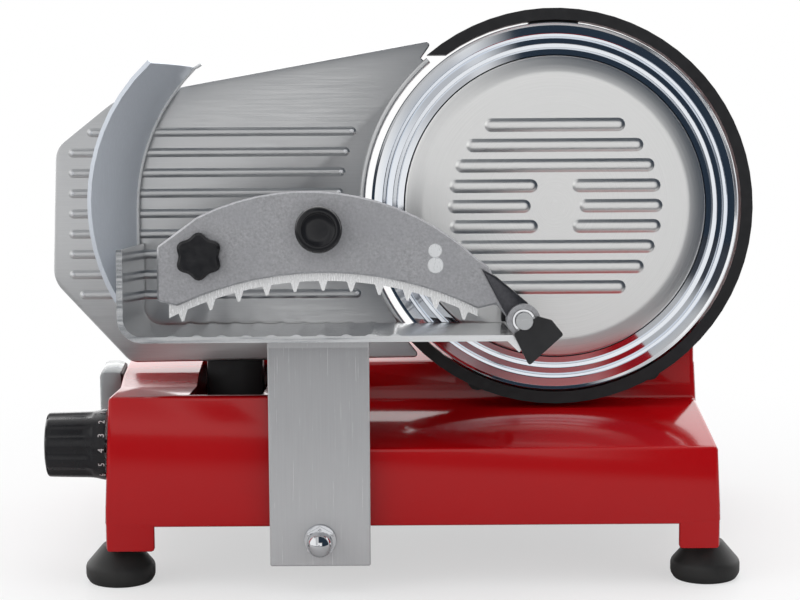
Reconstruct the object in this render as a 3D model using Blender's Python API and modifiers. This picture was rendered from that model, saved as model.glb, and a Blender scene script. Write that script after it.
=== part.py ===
"""An electric gravity-feed meat slicer with a 220 mm blade, in metres, +Z up.

The base frame has X = 0 in the middle of the base, Y = 0 at the top front edge of its front panel and
Z = 0 on the table. The plate frame leans back about X with the blade: its origin is the blade's centre,
its +Z runs up the gauge plate and its -Y points at the user. The model's own origin is under the middle
of the whole machine.
"""

import math

import bmesh
import bpy
from mathutils import Matrix, Vector

# How much clearance two touching pieces keep
GAP = 0.0003

# The lean of the blade, the gauge plate and the tray
TILT = math.radians(8.0)
BLADE_X, BLADE_Y = 0.0867, 0.1184

# Blade, hollow spindle and drive; depths are measured behind the cutting plane
BLADE_RADIUS = 0.110
BLADE_BACK = 0.0075
BLADE_DISC_FRONT = 0.0045
BLADE_BORE = 0.016
COVER_RADIUS = 0.090
COVER_RIM = 0.010
COVER_PROUD = 0.0022
COVER_SHEET = 0.002
COVER_BOSS_RADIUS = 0.0095
RIB_PITCH = 0.01215
COVER_RIB_WIDTH = 0.0075
COVER_RIB_RISE = 0.0009
COVER_RIB_REACH = 0.0642
SPINDLE_RADIUS = 0.010
SPINDLE_BORE = 0.0044
TIE_ROD_RADIUS = 0.0040
BEARING_RADIUS = 0.0172
BEARING_WIDTH = 0.009
HUB_FLANGE_RADIUS = 0.032
HUB_FLANGE = 0.0042
HUB_NECK_RADIUS = 0.024
PULLEY_RADIUS = 0.040
PULLEY_FRONT = 0.034
PULLEY_WIDTH = 0.014
PULLEY_GROOVES = 3
MOTOR_PULLEY_RADIUS = 0.0135
MOTOR_SHAFT_RADIUS = 0.005
MOTOR_Z = -0.078
MOTOR_RADIUS = 0.042
MOTOR_LENGTH = 0.060
BELT_THICKNESS = 0.002
BELT_WIDTH = 0.012
DRIVE_PLATE_FRONT = 0.0505
DRIVE_PLATE = 0.005
TIE_KNOB_RADIUS = 0.018
TIE_KNOB_LENGTH = 0.020
TIE_KNOB_Z = 0.186

# Ring guard round the blade
GUARD_GAP = 0.0015
GUARD_INNER = BLADE_RADIUS + GUARD_GAP
GUARD_WIDTH = 0.007
GUARD_PROUD = 0.001
GUARD_DEPTH = 0.015
GUARD_TOP_CUT = 0.0908
GUARD_END_ANGLE = math.radians(-137.0)
GUARD_ARM_WIDTH = 0.030
GUARD_LUG_ANGLES = (math.radians(-60.0), math.radians(-114.0))

# Base casting
BASE_WIDTH = 0.344
BASE_DRAFT = 0.0035
BASE_DEPTH = 0.245
BASE_LOWER = 0.039
LEG_LOWER = 0.0245
LEG_WIDTH = 0.028
LEG_DEPTH = 0.040
BASE_WALL = 0.004
BASE_EDGE = 0.0025
LEFT_TOP = 0.113
VALLEY_Y, VALLEY_Z = 0.075, 0.103
PLATFORM_Y, PLATFORM_Z = 0.096, 0.1065
RIGHT_TOP = 0.0825
GUARD_OVER_BASE = 0.0017
BLADE_Z = RIGHT_TOP + GUARD_OVER_BASE + GUARD_INNER + GUARD_WIDTH
STEP_X = -0.050
RISER_Y = 0.126
RISER_HEIGHT = 0.008
TOWER_LEFT = -0.062
TOWER_FRONT = 0.023
TOWER_SETBACK = 0.009
TOWER_BACK_Y = BASE_DEPTH - TOWER_SETBACK
REAR_COVER = 0.003
MOTOR_CLEARANCE = 0.0093
MOTOR_X = BASE_WIDTH / 2 - BASE_WALL - MOTOR_CLEARANCE - MOTOR_RADIUS - BLADE_X
CAM_INSET = 0.041
CAM_X = -BASE_WIDTH / 2 + CAM_INSET
CAM_TO_SLOT = 0.025
SLOT_X = CAM_X + CAM_TO_SLOT
SLOT_WIDTH = 0.042
SLOT_FRONT = 0.012
SLOT_BACK = 0.140
FOOT_Y = 0.022
FOOT_INSET = 0.003
FOOT_X = BASE_WIDTH / 2 - FOOT_INSET
FOOT_RADIUS = 0.020
FOOT_TOP_RADIUS = 0.010
FOOT_RIM = 0.005

# Slice-thickness setting
GAUGE_THICKNESS = 0.0045
GAUGE_RIB_WIDTH = 0.005
GAUGE_RIB_RISE = 0.001
GAUGE_ARC = 0.114
GAUGE_RIB_END = 0.1274
GAUGE_TRAVEL = 0.015
SUPPORT_WIDTH = 0.034
SUPPORT_ARM = 0.010
GUIDE_BAR_RADIUS = 0.006
GUIDE_OVER_PIN = 0.007872
DIAL_Y, DIAL_Z = 0.033, 0.078
PIN_Z = (DIAL_Y - BLADE_Y) * math.sin(TILT) + (DIAL_Z - BLADE_Z) * math.cos(TILT)
GUIDE_BAR_Z = PIN_Z + GUIDE_OVER_PIN
DIAL_TURN = math.radians(300.0)
DIAL_GRIP_RADIUS = 0.0175
DIAL_SKIRT_RADIUS = 0.0205
DIAL_SHAFT_RADIUS = 0.005
DIAL_FLUTES = 9
CAM_RADIUS = 0.0245
CAM_THICKNESS = 0.006
CAM_GROOVE_START = 0.006
CAM_PIN_RADIUS = 0.0025

# Switch on the left end
SWITCH_Y, SWITCH_Z = 0.130, 0.089
SWITCH_WIDTH, SWITCH_HEIGHT = 0.036, 0.0315
SWITCH_HOOD = 0.018
SWITCH_HOOD_WALL = 0.0015
BUTTON_RADIUS = 0.0065
BUTTON_TRAVEL = 0.002
BUTTON_PROUD = 0.0035
BUTTON_BORE = 0.0036

# Carriage
ROD_Y, ROD_Z, ROD_RADIUS = 0.055, 0.054, 0.007
BUSH_WALL = 0.002
BUSH_LENGTH = 0.020
BLOCK_WIDTH = 0.040
COLLAR_WIDTH = 0.070
GUIDE_Y, GUIDE_Z, GUIDE_SIZE = 0.092, 0.050, 0.008
POST_X, POST_WIDTH, POST_THICKNESS = -0.0525, 0.057, 0.006
POST_FRONT, POST_LOWER = -0.011, 0.0165
STUD_Z, STUD_RADIUS = 0.032, 0.0048
NUT_ACROSS = 0.0166
WASHER_RADIUS = 0.0093
TRAY_SHEET = 0.0034
TRAY_LEFT, TRAY_RIGHT = -0.2495, -0.0327
TRAY_WALL_TOP = -0.021
TRAY_FLOOR = -0.0695
TRAY_CORNER = 0.0137
TRAY_FRONT, TRAY_BACK = -0.143, -0.003
TRAY_RIBS, TRAY_RIB_PITCH, TRAY_RIB_START = 10, 0.0137, -0.219
TRAY_RIB_WIDTH, TRAY_RIB_RISE = 0.006, 0.0009
HAND_GUARD_SHEET = 0.003

# Meat grip: a plate that slides and swings on the pusher rod
PUSHER_X, PUSHER_Z = -0.025, -0.0616
PUSHER_ROD_RADIUS = 0.0047
PUSHER_HUB_RADIUS = 0.0092
PUSHER_Y = -0.128
PUSHER_THICKNESS = 0.006
PUSHER_TOP_ARC, PUSHER_TOP_CENTRE = 0.137, (-0.145, -0.1264)
PUSHER_LOW_ARC, PUSHER_LOW_CENTRE = 0.192, (-0.136, -0.227)
PUSHER_LEFT, PUSHER_RIGHT = -0.228, -0.050
TEETH = 11
TOOTH_STRIP, TOOTH_LENGTH = 0.0015, 0.0055
STAR_X, STAR_Z, STAR_RADIUS = -0.2039, -0.0251, 0.0133
GRIP_X, GRIP_Z, GRIP_RADIUS = -0.1375, -0.0111, 0.013
GRIP_LENGTH = 0.030

# Where the whole machine's middle lies in the base frame
MACHINE_LEFT = BLADE_X - 0.3009
MACHINE_RIGHT = BLADE_X + GUARD_INNER + GUARD_WIDTH
MACHINE_FRONT = -0.0441
MACHINE_BACK = 0.2670

RED = ("gloss_red_enamel", (0.42, 0.004, 0.006), 0.12, 0.0)
BLACK = ("black_plastic", (0.012, 0.012, 0.013), 0.35, 0.0)
RUBBER = ("black_rubber", (0.010, 0.010, 0.010), 0.70, 0.0)
STEEL = ("brushed_stainless", (0.62, 0.63, 0.64), 0.30, 1.0)
CHROME = ("polished_blade_steel", (0.75, 0.77, 0.80), 0.08, 1.0)
ALUMINIUM = ("polished_aluminium", (0.70, 0.71, 0.72), 0.28, 1.0)
CAST = ("cast_aluminium", (0.36, 0.36, 0.38), 0.50, 0.9)
BRONZE = ("sintered_bronze", (0.50, 0.30, 0.12), 0.45, 1.0)
HOOD = ("grey_hood", (0.45, 0.47, 0.48), 0.20, 0.0)
GREY = ("grey_motor_paint", (0.12, 0.13, 0.14), 0.50, 0.2)


def clear_scene():
    for old in list(bpy.data.objects):
        bpy.data.objects.remove(old, do_unlink=True)


def new_collection(name, hidden=False):
    found = bpy.data.collections.new(name)
    bpy.context.scene.collection.children.link(found)
    found.hide_render = hidden
    return found


def new_empty(name, parent, location, tilt=0.0):
    empty = bpy.data.objects.new(name, None)
    PARTS.objects.link(empty)
    empty.parent = parent
    empty.location = location
    empty.rotation_euler = (tilt, 0.0, 0.0)
    return empty


def material(spec):
    name, colour, roughness, metallic = spec
    found = bpy.data.materials.get(name)
    if found is None:
        found = bpy.data.materials.new(name)
        found.use_nodes = True
        shader = found.node_tree.nodes["Principled BSDF"]
        shader.inputs["Base Color"].default_value = (*colour, 1.0)
        shader.inputs["Roughness"].default_value = roughness
        shader.inputs["Metallic"].default_value = metallic
        found.diffuse_color = (*colour, 1.0)
    return found


def keep(mesh, name, parent, spec, smooth=True):
    """Makes the mesh an object of the machine."""
    piece = bpy.data.objects.new(name, mesh)
    PARTS.objects.link(piece)
    piece.parent = parent
    mesh.materials.clear()
    mesh.materials.append(material(spec))
    if smooth:
        mesh.shade_smooth()
        mesh.set_sharp_from_angle(angle=math.radians(35.0))
    return piece


def helper(mesh, name, parent):
    """Makes the mesh a cutter or a block that is joined to a piece."""
    piece = bpy.data.objects.new(name, mesh)
    CUTTERS.objects.link(piece)
    piece.parent = parent
    piece.hide_render = True
    piece.display_type = "WIRE"
    return piece


# EXACT leaves open edges in these, where rounded blocks meet in one plane
MANIFOLD_PIECES = ("base_casting", "gauge_plate", "gauge_support")


def boolean(piece, other, operation="DIFFERENCE"):
    cut = piece.modifiers.new(operation.lower(), "BOOLEAN")
    cut.operation = operation
    cut.object = other
    cut.solver = "MANIFOLD" if piece.name in MANIFOLD_PIECES else "EXACT"


def mesh_from(work, name, matrix=None):
    if matrix is not None:
        bmesh.ops.transform(work, matrix=matrix, verts=work.verts)
    bmesh.ops.recalc_face_normals(work, faces=work.faces)
    mesh = bpy.data.meshes.new(name)
    work.to_mesh(mesh)
    work.free()
    return mesh


def box(name, low, high, bevel=0.0, segments=2):
    """A block between two corners, its edges rounded where a width is given."""
    work = bmesh.new()
    bmesh.ops.create_cube(work, size=1.0)
    size = [b - a for a, b in zip(low, high)]
    middle = [(a + b) / 2 for a, b in zip(low, high)]
    bmesh.ops.scale(work, vec=size, verts=work.verts)
    bmesh.ops.translate(work, vec=middle, verts=work.verts)
    if bevel:
        bmesh.ops.bevel(work, geom=list(work.edges), offset=bevel, segments=segments,
                        profile=0.5, affect="EDGES", clamp_overlap=True)
    return mesh_from(work, name)


AXES = {
    "x": Matrix.Rotation(math.radians(90.0), 4, "Y"),
    "-y": Matrix.Rotation(math.radians(90.0), 4, "X"),
    "z": Matrix.Identity(4),
}


def cylinder(name, radius, start, length, axis, segments=24, top_radius=None):
    """A cylinder or cone that runs from start along the axis."""
    work = bmesh.new()
    bmesh.ops.create_cone(work, cap_ends=True, segments=segments, radius1=radius,
                          radius2=radius if top_radius is None else top_radius, depth=length)
    bmesh.ops.translate(work, vec=(0.0, 0.0, length / 2), verts=work.verts)
    return mesh_from(work, name, Matrix.Translation(start) @ AXES[axis])


def turned(name, profile, start, axis, parent, spec, steps=32, closed=False):
    """A turned piece: the profile's (radius, height) pairs run down its outer side from top to bottom."""
    work = bmesh.new()
    points = [work.verts.new((radius, 0.0, height)) for radius, height in profile]
    for first, second in zip(points, points[1:]):
        work.edges.new((first, second))
    if closed:
        work.edges.new((points[-1], points[0]))
    mesh = bpy.data.meshes.new(name)
    work.to_mesh(mesh)
    work.free()
    piece = keep(mesh, name, parent, spec, smooth=False)
    piece.matrix_basis = Matrix.Translation(start) @ AXES[axis]
    screw = piece.modifiers.new("turned", "SCREW")
    screw.steps = steps
    screw.render_steps = steps
    screw.use_merge_vertices = True
    screw.merge_threshold = 0.00005
    screw.use_smooth_shade = True
    return piece


def arc(centre, radius, start, end, count):
    """Points along an arc, both ends included."""
    cx, cz = centre
    return [(cx + radius * math.cos(start + (end - start) * i / (count - 1)),
             cz + radius * math.sin(start + (end - start) * i / (count - 1)))
            for i in range(count)]


def rounded(points, radii, count=5):
    """The outline with each corner replaced by an arc of its own radius; a radius of 0 keeps the corner."""
    result = []
    total = len(points)
    for i, point in enumerate(points):
        here = Vector(point)
        before = (Vector(points[i - 1]) - here).normalized()
        after = (Vector(points[(i + 1) % total]) - here).normalized()
        radius = radii[i] if isinstance(radii, (list, tuple)) else radii
        half = before.angle(after) / 2
        if radius <= 0.0 or half > math.radians(89.0):
            result.append(tuple(here))
            continue
        reach = radius / math.tan(half)
        centre = here + (before + after).normalized() * radius / math.sin(half)
        first = here + before * reach - centre
        last = here + after * reach - centre
        turn = first.angle_signed(last)
        for step in range(count):
            angle = -turn * step / (count - 1)
            x = first.x * math.cos(angle) - first.y * math.sin(angle)
            y = first.x * math.sin(angle) + first.y * math.cos(angle)
            result.append((centre.x + x, centre.y + y))
    return result


PLANES = {
    "xz": Matrix.Rotation(math.radians(90.0), 4, "X"),
    "yz": Matrix(((0, 0, 1, 0), (1, 0, 0, 0), (0, 1, 0, 0), (0, 0, 0, 1))),
    "xy": Matrix.Identity(4),
}


def sheet(name, outlines, low, high, plane):
    """A flat outline, with further closed outlines in it as holes, given thickness between two depths.

    In the xz plane depths are along Y, in the yz plane along X, and in the xy plane along Z.
    """
    curve = bpy.data.curves.new(name, "CURVE")
    curve.dimensions = "2D"
    curve.fill_mode = "BOTH"
    curve.extrude = (high - low) / 2
    for outline in outlines:
        spline = curve.splines.new("POLY")
        spline.points.add(len(outline) - 1)
        for point, (across, up) in zip(spline.points, outline):
            point.co = (across, up, 0.0, 1.0)
        spline.use_cyclic_u = True
    drawn = bpy.data.objects.new(name, curve)
    CUTTERS.objects.link(drawn)
    graph = bpy.context.evaluated_depsgraph_get()
    mesh = bpy.data.meshes.new_from_object(drawn.evaluated_get(graph))
    bpy.data.objects.remove(drawn)
    bpy.data.curves.remove(curve)
    work = bmesh.new()
    work.from_mesh(mesh)
    bpy.data.meshes.remove(mesh)
    bmesh.ops.remove_doubles(work, verts=work.verts, dist=0.00002)
    bmesh.ops.dissolve_limit(work, angle_limit=math.radians(0.5), verts=work.verts, edges=work.edges)
    middle = (low + high) / 2
    shift = {"xz": (0.0, middle, 0.0), "yz": (middle, 0.0, 0.0), "xy": (0.0, 0.0, middle)}[plane]
    return mesh_from(work, name, Matrix.Translation(shift) @ PLANES[plane])


def stadium(left, right, middle, width, count=4):
    """A bar with round ends, lying across."""
    half = width / 2
    return (arc((right - half, middle), half, -math.pi / 2, math.pi / 2, count)
            + arc((left + half, middle), half, math.pi / 2, 3 * math.pi / 2, count))


def joined(name, meshes):
    """Several closed meshes as one mesh of loose blocks, for use as a cutter."""
    work = bmesh.new()
    for mesh in meshes:
        work.from_mesh(mesh)
        bpy.data.meshes.remove(mesh)
    mesh = bpy.data.meshes.new(name)
    work.to_mesh(mesh)
    work.free()
    return mesh


def tilted(x, y, z):
    """A plate-frame point in the base frame."""
    return (BLADE_X + x,
            BLADE_Y + y * math.cos(TILT) + z * math.sin(TILT),
            BLADE_Z - y * math.sin(TILT) + z * math.cos(TILT))


def levelled(y, z):
    """The plate-frame depth and height of a base-frame (Y, Z) point."""
    back, up = y - BLADE_Y, z - BLADE_Z
    return (back * math.cos(TILT) - up * math.sin(TILT),
            back * math.sin(TILT) + up * math.cos(TILT))


def soften(mesh, width, segments=2, angle=25.0):
    """Rounds every edge of a mesh that turns by more than the angle."""
    work = bmesh.new()
    work.from_mesh(mesh)
    edges = [edge for edge in work.edges if edge.calc_face_angle(0.0) > math.radians(angle)]
    bmesh.ops.bevel(work, geom=edges, offset=width, segments=segments, profile=0.5,
                    affect="EDGES", clamp_overlap=True)
    bmesh.ops.recalc_face_normals(work, faces=work.faces)
    work.to_mesh(mesh)
    work.free()
    return mesh


def drafted(mesh):
    """Leans the base's end walls outward towards the table."""
    for vertex in mesh.vertices:
        if abs(vertex.co.x) > BASE_WIDTH / 2 - 2 * BASE_EDGE:
            share = (LEFT_TOP - vertex.co.z) / (LEFT_TOP - BASE_LOWER)
            vertex.co.x += math.copysign(BASE_DRAFT * share, vertex.co.x)
    return mesh


def tower_outline(inset, bottom):
    """The arch of the housing behind the blade."""
    left = TOWER_LEFT + inset
    right = BASE_WIDTH / 2 - BLADE_X - inset
    radius = (right - left) / 2
    top = arc(((left + right) / 2, 0.0), radius, 0.0, math.pi, 25)
    return [(left, bottom), (right, bottom)] + top


def base_casting():
    half, depth, lower = BASE_WIDTH / 2, BASE_DEPTH, BASE_LOWER
    left = sheet("base_casting", [[(0.0, lower), (depth, lower), (depth, PLATFORM_Z), (PLATFORM_Y, PLATFORM_Z),
                                   (VALLEY_Y, VALLEY_Z), (0.0, LEFT_TOP)]], -half, STEP_X, "yz")
    base = keep(drafted(soften(left, BASE_EDGE)), "base_casting", MACHINE, RED)
    lean = (PLATFORM_Z - RIGHT_TOP - RISER_HEIGHT) * math.tan(TILT)
    right = sheet("right side", [[(0.0, lower), (depth, lower), (depth, PLATFORM_Z),
                                  (RISER_Y + lean, PLATFORM_Z), (RISER_Y, RIGHT_TOP + RISER_HEIGHT),
                                  (RISER_Y, RIGHT_TOP), (0.0, RIGHT_TOP)]], STEP_X - 0.020, half, "yz")
    boolean(base, helper(drafted(soften(right, BASE_EDGE)), "right side", MACHINE), "UNION")
    legs = []
    for side in (-1, 1):
        for front in (0.0, depth - LEG_DEPTH):
            inner, outer = side * (half + BASE_DRAFT - LEG_WIDTH), side * (half + BASE_DRAFT - 0.0004)
            leg = box("leg", (min(inner, outer), front + 0.0004, LEG_LOWER),
                      (max(inner, outer), front + LEG_DEPTH - 0.0004, lower + 0.012), 0.002)
            legs.append(leg)
    boolean(base, helper(joined("legs", legs), "legs", MACHINE), "UNION")
    tower = sheet("tower", [tower_outline(0.0, -0.110)], TOWER_FRONT, 0.165, "xz")
    tower = helper(soften(tower, BASE_EDGE), "tower", PLATE)
    boolean(tower, helper(box("behind the tower", (-0.1, TOWER_BACK_Y, 0.0), (0.3, 0.4, 0.4)),
                          "behind the tower", MACHINE))
    boolean(base, tower, "UNION")
    cut_cavities(base)
    add_bosses(base)
    cut_openings(base)


def cut_cavities(base):
    half, depth, wall = BASE_WIDTH / 2, BASE_DEPTH, BASE_WALL
    under = LEG_LOWER - 0.010
    roof = PLATFORM_Z - wall
    left = sheet("left cavity", [[(wall, under), (depth - wall, under), (depth - wall, roof), (PLATFORM_Y, roof),
                                  (VALLEY_Y, VALLEY_Z - wall), (wall, LEFT_TOP - wall - 0.0005)]],
                 -half + wall, STEP_X - wall, "yz")
    right = sheet("right cavity", [[(wall, under), (depth - wall, under), (depth - wall, roof),
                                    (RISER_Y + wall, roof), (RISER_Y + wall, RIGHT_TOP - wall),
                                    (wall, RIGHT_TOP - wall)]], STEP_X - 0.012, half - wall, "yz")
    boolean(base, helper(left, "left cavity", MACHINE))
    boolean(base, helper(right, "right cavity", MACHINE))
    front = TOWER_FRONT + wall
    upper = sheet("tower cavity", [tower_outline(wall, -0.076)], front, 0.180, "xz")
    lower = sheet("belt well", [tower_outline(wall, -0.122)], front, 0.120, "xz")
    boolean(base, helper(upper, "tower cavity", PLATE))
    boolean(base, helper(lower, "belt well", PLATE))


def add_bosses(base):
    """The bosses that carry the carriage rod, the guide bar and the gauge plate's guide."""
    half = BASE_WIDTH / 2
    blocks = []
    for side in (-1, 1):
        start = side * (half - BASE_WALL - 0.013)
        reach = side * (half - BASE_WALL + 0.001)
        low, high = min(start, reach), max(start, reach)
        blocks.append(cylinder("boss", ROD_RADIUS + 0.005, (low, ROD_Y, ROD_Z), high - low, "x", 16))
        blocks.append(box("boss", (low, GUIDE_Y - GUIDE_SIZE, GUIDE_Z - GUIDE_SIZE),
                          (high, GUIDE_Y + GUIDE_SIZE, GUIDE_Z + GUIDE_SIZE)))
    front = tilted(0.0, -0.093, GUIDE_BAR_Z)[2]
    blocks.append(box("front lug", (SLOT_X - 0.010, BASE_WALL - 0.001, front - 0.011),
                      (SLOT_X + 0.010, BASE_WALL + 0.008, front + 0.011)))
    blocks.append(box("rear lug", (SLOT_X - 0.010, SLOT_BACK + 0.002, 0.055),
                      (SLOT_X + 0.010, SLOT_BACK + 0.010, PLATFORM_Z - BASE_WALL + 0.001)))
    boolean(base, helper(joined("bosses", blocks), "bosses", MACHINE), "UNION")
    bores = []
    for side in (-1, 1):
        inner, end = side * (half - BASE_WALL - 0.020), side * (half - BASE_WALL - 0.001)
        low, high = min(inner, end), max(inner, end)
        bores.append(cylinder("bore", ROD_RADIUS + GAP, (low, ROD_Y, ROD_Z), high - low, "x", 24))
        bore = GUIDE_SIZE / 2 + GAP
        bores.append(box("bore", (low, GUIDE_Y - bore, GUIDE_Z - bore), (high, GUIDE_Y + bore, GUIDE_Z + bore)))
    boolean(base, helper(joined("bores", bores), "bores", MACHINE))
    guide = cylinder("guide bore", GUIDE_BAR_RADIUS + GAP, (SLOT_X - BLADE_X, 0.0475, GUIDE_BAR_Z),
                     0.144, "-y", 24)
    boolean(base, helper(guide, "guide bore", PLATE))


def cut_openings(base):
    """The hub's hole, the gauge support's slot, and the holes for the dial's shaft, switch and gland."""
    hub = cylinder("hub hole", HUB_NECK_RADIUS + 0.010, (0.0, TOWER_FRONT + 0.010, 0.0), 0.020, "-y", 32)
    boolean(base, helper(hub, "hub hole", PLATE))
    half = SLOT_WIDTH / 2
    cuts = [box("slot", (SLOT_X - half, SLOT_FRONT, PLATFORM_Z - 0.015), (SLOT_X + half, SLOT_BACK, LEFT_TOP + 0.01)),
            cylinder("dial hole", DIAL_SHAFT_RADIUS + GAP, (-BASE_WIDTH / 2 - 0.010, DIAL_Y, DIAL_Z), 0.020, "x", 16),
            box("switch hole", (-BASE_WIDTH / 2 - 0.010, SWITCH_Y - 0.012, SWITCH_Z - 0.011),
                (-BASE_WIDTH / 2 + 0.010, SWITCH_Y + 0.012, SWITCH_Z + 0.011)),
            box("gland hole", (-0.1063, BASE_DEPTH - 0.010, 0.0537), (-0.0937, BASE_DEPTH + 0.010, 0.0663))]
    boolean(base, helper(joined("openings", cuts), "openings", MACHINE))


def base_fittings():
    half, wall = BASE_WIDTH / 2, BASE_WALL
    bottom = box("bottom_cover", (-half + wall + GAP, GUIDE_Y + 0.012, BASE_LOWER + 0.001),
                 (half - wall - GAP, BASE_DEPTH - wall - GAP, BASE_LOWER + 0.003))
    keep(bottom, "bottom_cover", MACHINE, STEEL)
    for name, x, y in (("front_left_foot", -FOOT_X, FOOT_Y), ("front_right_foot", FOOT_X, FOOT_Y),
                       ("rear_left_foot", -FOOT_X, BASE_DEPTH - FOOT_Y),
                       ("rear_right_foot", FOOT_X, BASE_DEPTH - FOOT_Y)):
        top = LEG_LOWER - GAP
        turned(name, [(0.0, top), (FOOT_TOP_RADIUS, top), (FOOT_RADIUS - 0.004, FOOT_RIM + 0.004),
                      (FOOT_RADIUS, FOOT_RIM), (FOOT_RADIUS, 0.001), (FOOT_RADIUS - 0.001, 0.0), (0.0, 0.0)],
               (x, y, 0.0), "z", MACHINE, RUBBER, 24)
    outline = [(BLADE_X + x, z) for x, z in tower_outline(0.0008, 0.0)]
    centre = tilted(0.0, levelled(TOWER_BACK_Y, TIE_KNOB_Z)[0], 0.0)[2]
    outline = [(x, centre + z) for x, z in outline[2:]]
    outline = [(outline[-1][0], PLATFORM_Z + 0.001), (outline[0][0], PLATFORM_Z + 0.001)] + outline
    back = TOWER_BACK_Y + GAP
    knob_z = centre
    hole = arc((BLADE_X, knob_z), TIE_ROD_RADIUS + 0.003, 0.0, 2 * math.pi * 15 / 16, 16)
    slots = []
    for row in range(6):
        middle = PLATFORM_Z + 0.014 + 0.007 * row
        slots.append(stadium(BLADE_X - 0.030, BLADE_X + 0.054, middle, 0.003, 4))
    cover = sheet("rear_cover", [outline, hole] + slots, back, back + REAR_COVER, "xz")
    keep(cover, "rear_cover", MACHINE, BLACK)
    gland = cylinder("cord_gland", 0.0095, (-0.100, BASE_DEPTH + GAP + 0.011, 0.060), 0.011, "-y", 6)
    gland = keep(gland, "cord_gland", MACHINE, BLACK)
    stem = cylinder("gland stem", 0.0060, (-0.100, BASE_DEPTH + 0.005, 0.060), 0.014, "-y", 16)
    boolean(gland, helper(stem, "gland stem", MACHINE), "UNION")


def drive():
    """Motor, belt, and the hub that turns on a hollow spindle."""
    wall = BASE_WALL
    front = DRIVE_PLATE_FRONT
    spindle_hole = arc((0.0, 0.0), SPINDLE_RADIUS + GAP, 0.0, 2 * math.pi * 23 / 24, 24)
    motor_hole = arc((MOTOR_X, MOTOR_Z), MOTOR_SHAFT_RADIUS + 0.006, 0.0, 2 * math.pi * 15 / 16, 16)
    outlines = [tower_outline(wall + GAP, -0.112), spindle_hole, motor_hole]
    plate = sheet("drive_plate", outlines, front, front + DRIVE_PLATE, "xz")
    keep(plate, "drive_plate", PLATE, CAST)
    behind = front + DRIVE_PLATE + GAP
    axis = (0.0, 0.0, 0.0)
    seat = -(BLADE_DISC_FRONT - 0.001)
    turned("blade_spindle", [(SPINDLE_BORE, seat), (SPINDLE_RADIUS, seat), (SPINDLE_RADIUS, -behind),
                             (0.018, -behind), (0.018, -behind - 0.004), (SPINDLE_BORE, -behind - 0.004)],
           axis, "-y", PLATE, STEEL, 24, closed=True)
    hub_front = -(BLADE_BACK + GAP)
    outer = BEARING_RADIUS + GAP
    groove = PULLEY_WIDTH / (2 * PULLEY_GROOVES + 1)
    rim = []
    for number in range(PULLEY_GROOVES):
        start = -PULLEY_FRONT - groove * (2 * number + 1)
        rim += [(PULLEY_RADIUS, start), (PULLEY_RADIUS - 0.0015, start - groove / 2),
                (PULLEY_RADIUS, start - groove)]
    pulley_back = -PULLEY_FRONT - PULLEY_WIDTH
    profile = ([(SPINDLE_RADIUS + 0.0025, -BLADE_DISC_FRONT), (BLADE_BORE - GAP, -BLADE_DISC_FRONT),
                (BLADE_BORE - GAP, hub_front), (HUB_FLANGE_RADIUS, hub_front),
                (HUB_FLANGE_RADIUS, hub_front - HUB_FLANGE), (HUB_NECK_RADIUS, hub_front - HUB_FLANGE),
                (HUB_NECK_RADIUS, -PULLEY_FRONT), (PULLEY_RADIUS, -PULLEY_FRONT)] + rim
               + [(PULLEY_RADIUS, pulley_back), (outer, pulley_back), (outer, hub_front - 0.003),
                  (SPINDLE_RADIUS + 0.0025, hub_front - 0.003)])
    turned("blade_hub_pulley", profile, axis, "-y", PLATE, CAST, 26, closed=True)
    for name, start in (("front_bearing", hub_front - 0.003 - GAP),
                        ("rear_bearing", pulley_back + BEARING_WIDTH + GAP)):
        end = start - BEARING_WIDTH
        turned(name, [(SPINDLE_RADIUS + GAP, start), (BEARING_RADIUS, start),
                      (BEARING_RADIUS, end), (SPINDLE_RADIUS + GAP, end)], axis, "-y", PLATE, CHROME, 24, closed=True)
    turned("motor_body", [(0.0, 0.0), (MOTOR_RADIUS - 0.004, 0.0), (MOTOR_RADIUS, -0.004),
                                  (MOTOR_RADIUS, -MOTOR_LENGTH + 0.008), (MOTOR_RADIUS - 0.010, -MOTOR_LENGTH),
                                  (0.0, -MOTOR_LENGTH)], (MOTOR_X, behind, MOTOR_Z), "-y", PLATE, GREY, 28)
    reach = behind - GAP - PULLEY_FRONT
    turned("motor_pulley", [(0.0, 0.0), (MOTOR_PULLEY_RADIUS, 0.0), (MOTOR_PULLEY_RADIUS, -PULLEY_WIDTH),
                            (MOTOR_SHAFT_RADIUS, -PULLEY_WIDTH), (MOTOR_SHAFT_RADIUS, -reach), (0.0, -reach)],
           (MOTOR_X, PULLEY_FRONT, MOTOR_Z), "-y", PLATE, STEEL, 20)
    belt()
    rod_front = -0.0003
    knob_front = levelled(TOWER_BACK_Y + GAP + REAR_COVER, TIE_KNOB_Z)[0] + 0.006
    turned("tie_rod_knob", [(0.0, -rod_front), (TIE_ROD_RADIUS, -rod_front), (TIE_ROD_RADIUS, -knob_front),
                            (TIE_KNOB_RADIUS - 0.003, -knob_front), (TIE_KNOB_RADIUS, -knob_front - 0.003),
                            (TIE_KNOB_RADIUS, -knob_front - TIE_KNOB_LENGTH + 0.004),
                            (TIE_KNOB_RADIUS - 0.004, -knob_front - TIE_KNOB_LENGTH),
                            (0.0, -knob_front - TIE_KNOB_LENGTH)], axis, "-y", PLATE, BLACK, 24)


def belt_outline(offset):
    """The line of a belt round both pulleys, at an offset from their rims."""
    across = math.atan2(MOTOR_Z, MOTOR_X)
    span = math.hypot(MOTOR_X, MOTOR_Z)
    lean = math.acos((PULLEY_RADIUS - MOTOR_PULLEY_RADIUS) / span)
    return (arc((0.0, 0.0), PULLEY_RADIUS + offset, across + lean, across + 2 * math.pi - lean, 28)
            + arc((MOTOR_X, MOTOR_Z), MOTOR_PULLEY_RADIUS + offset, across - lean, across + lean, 10))


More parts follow.
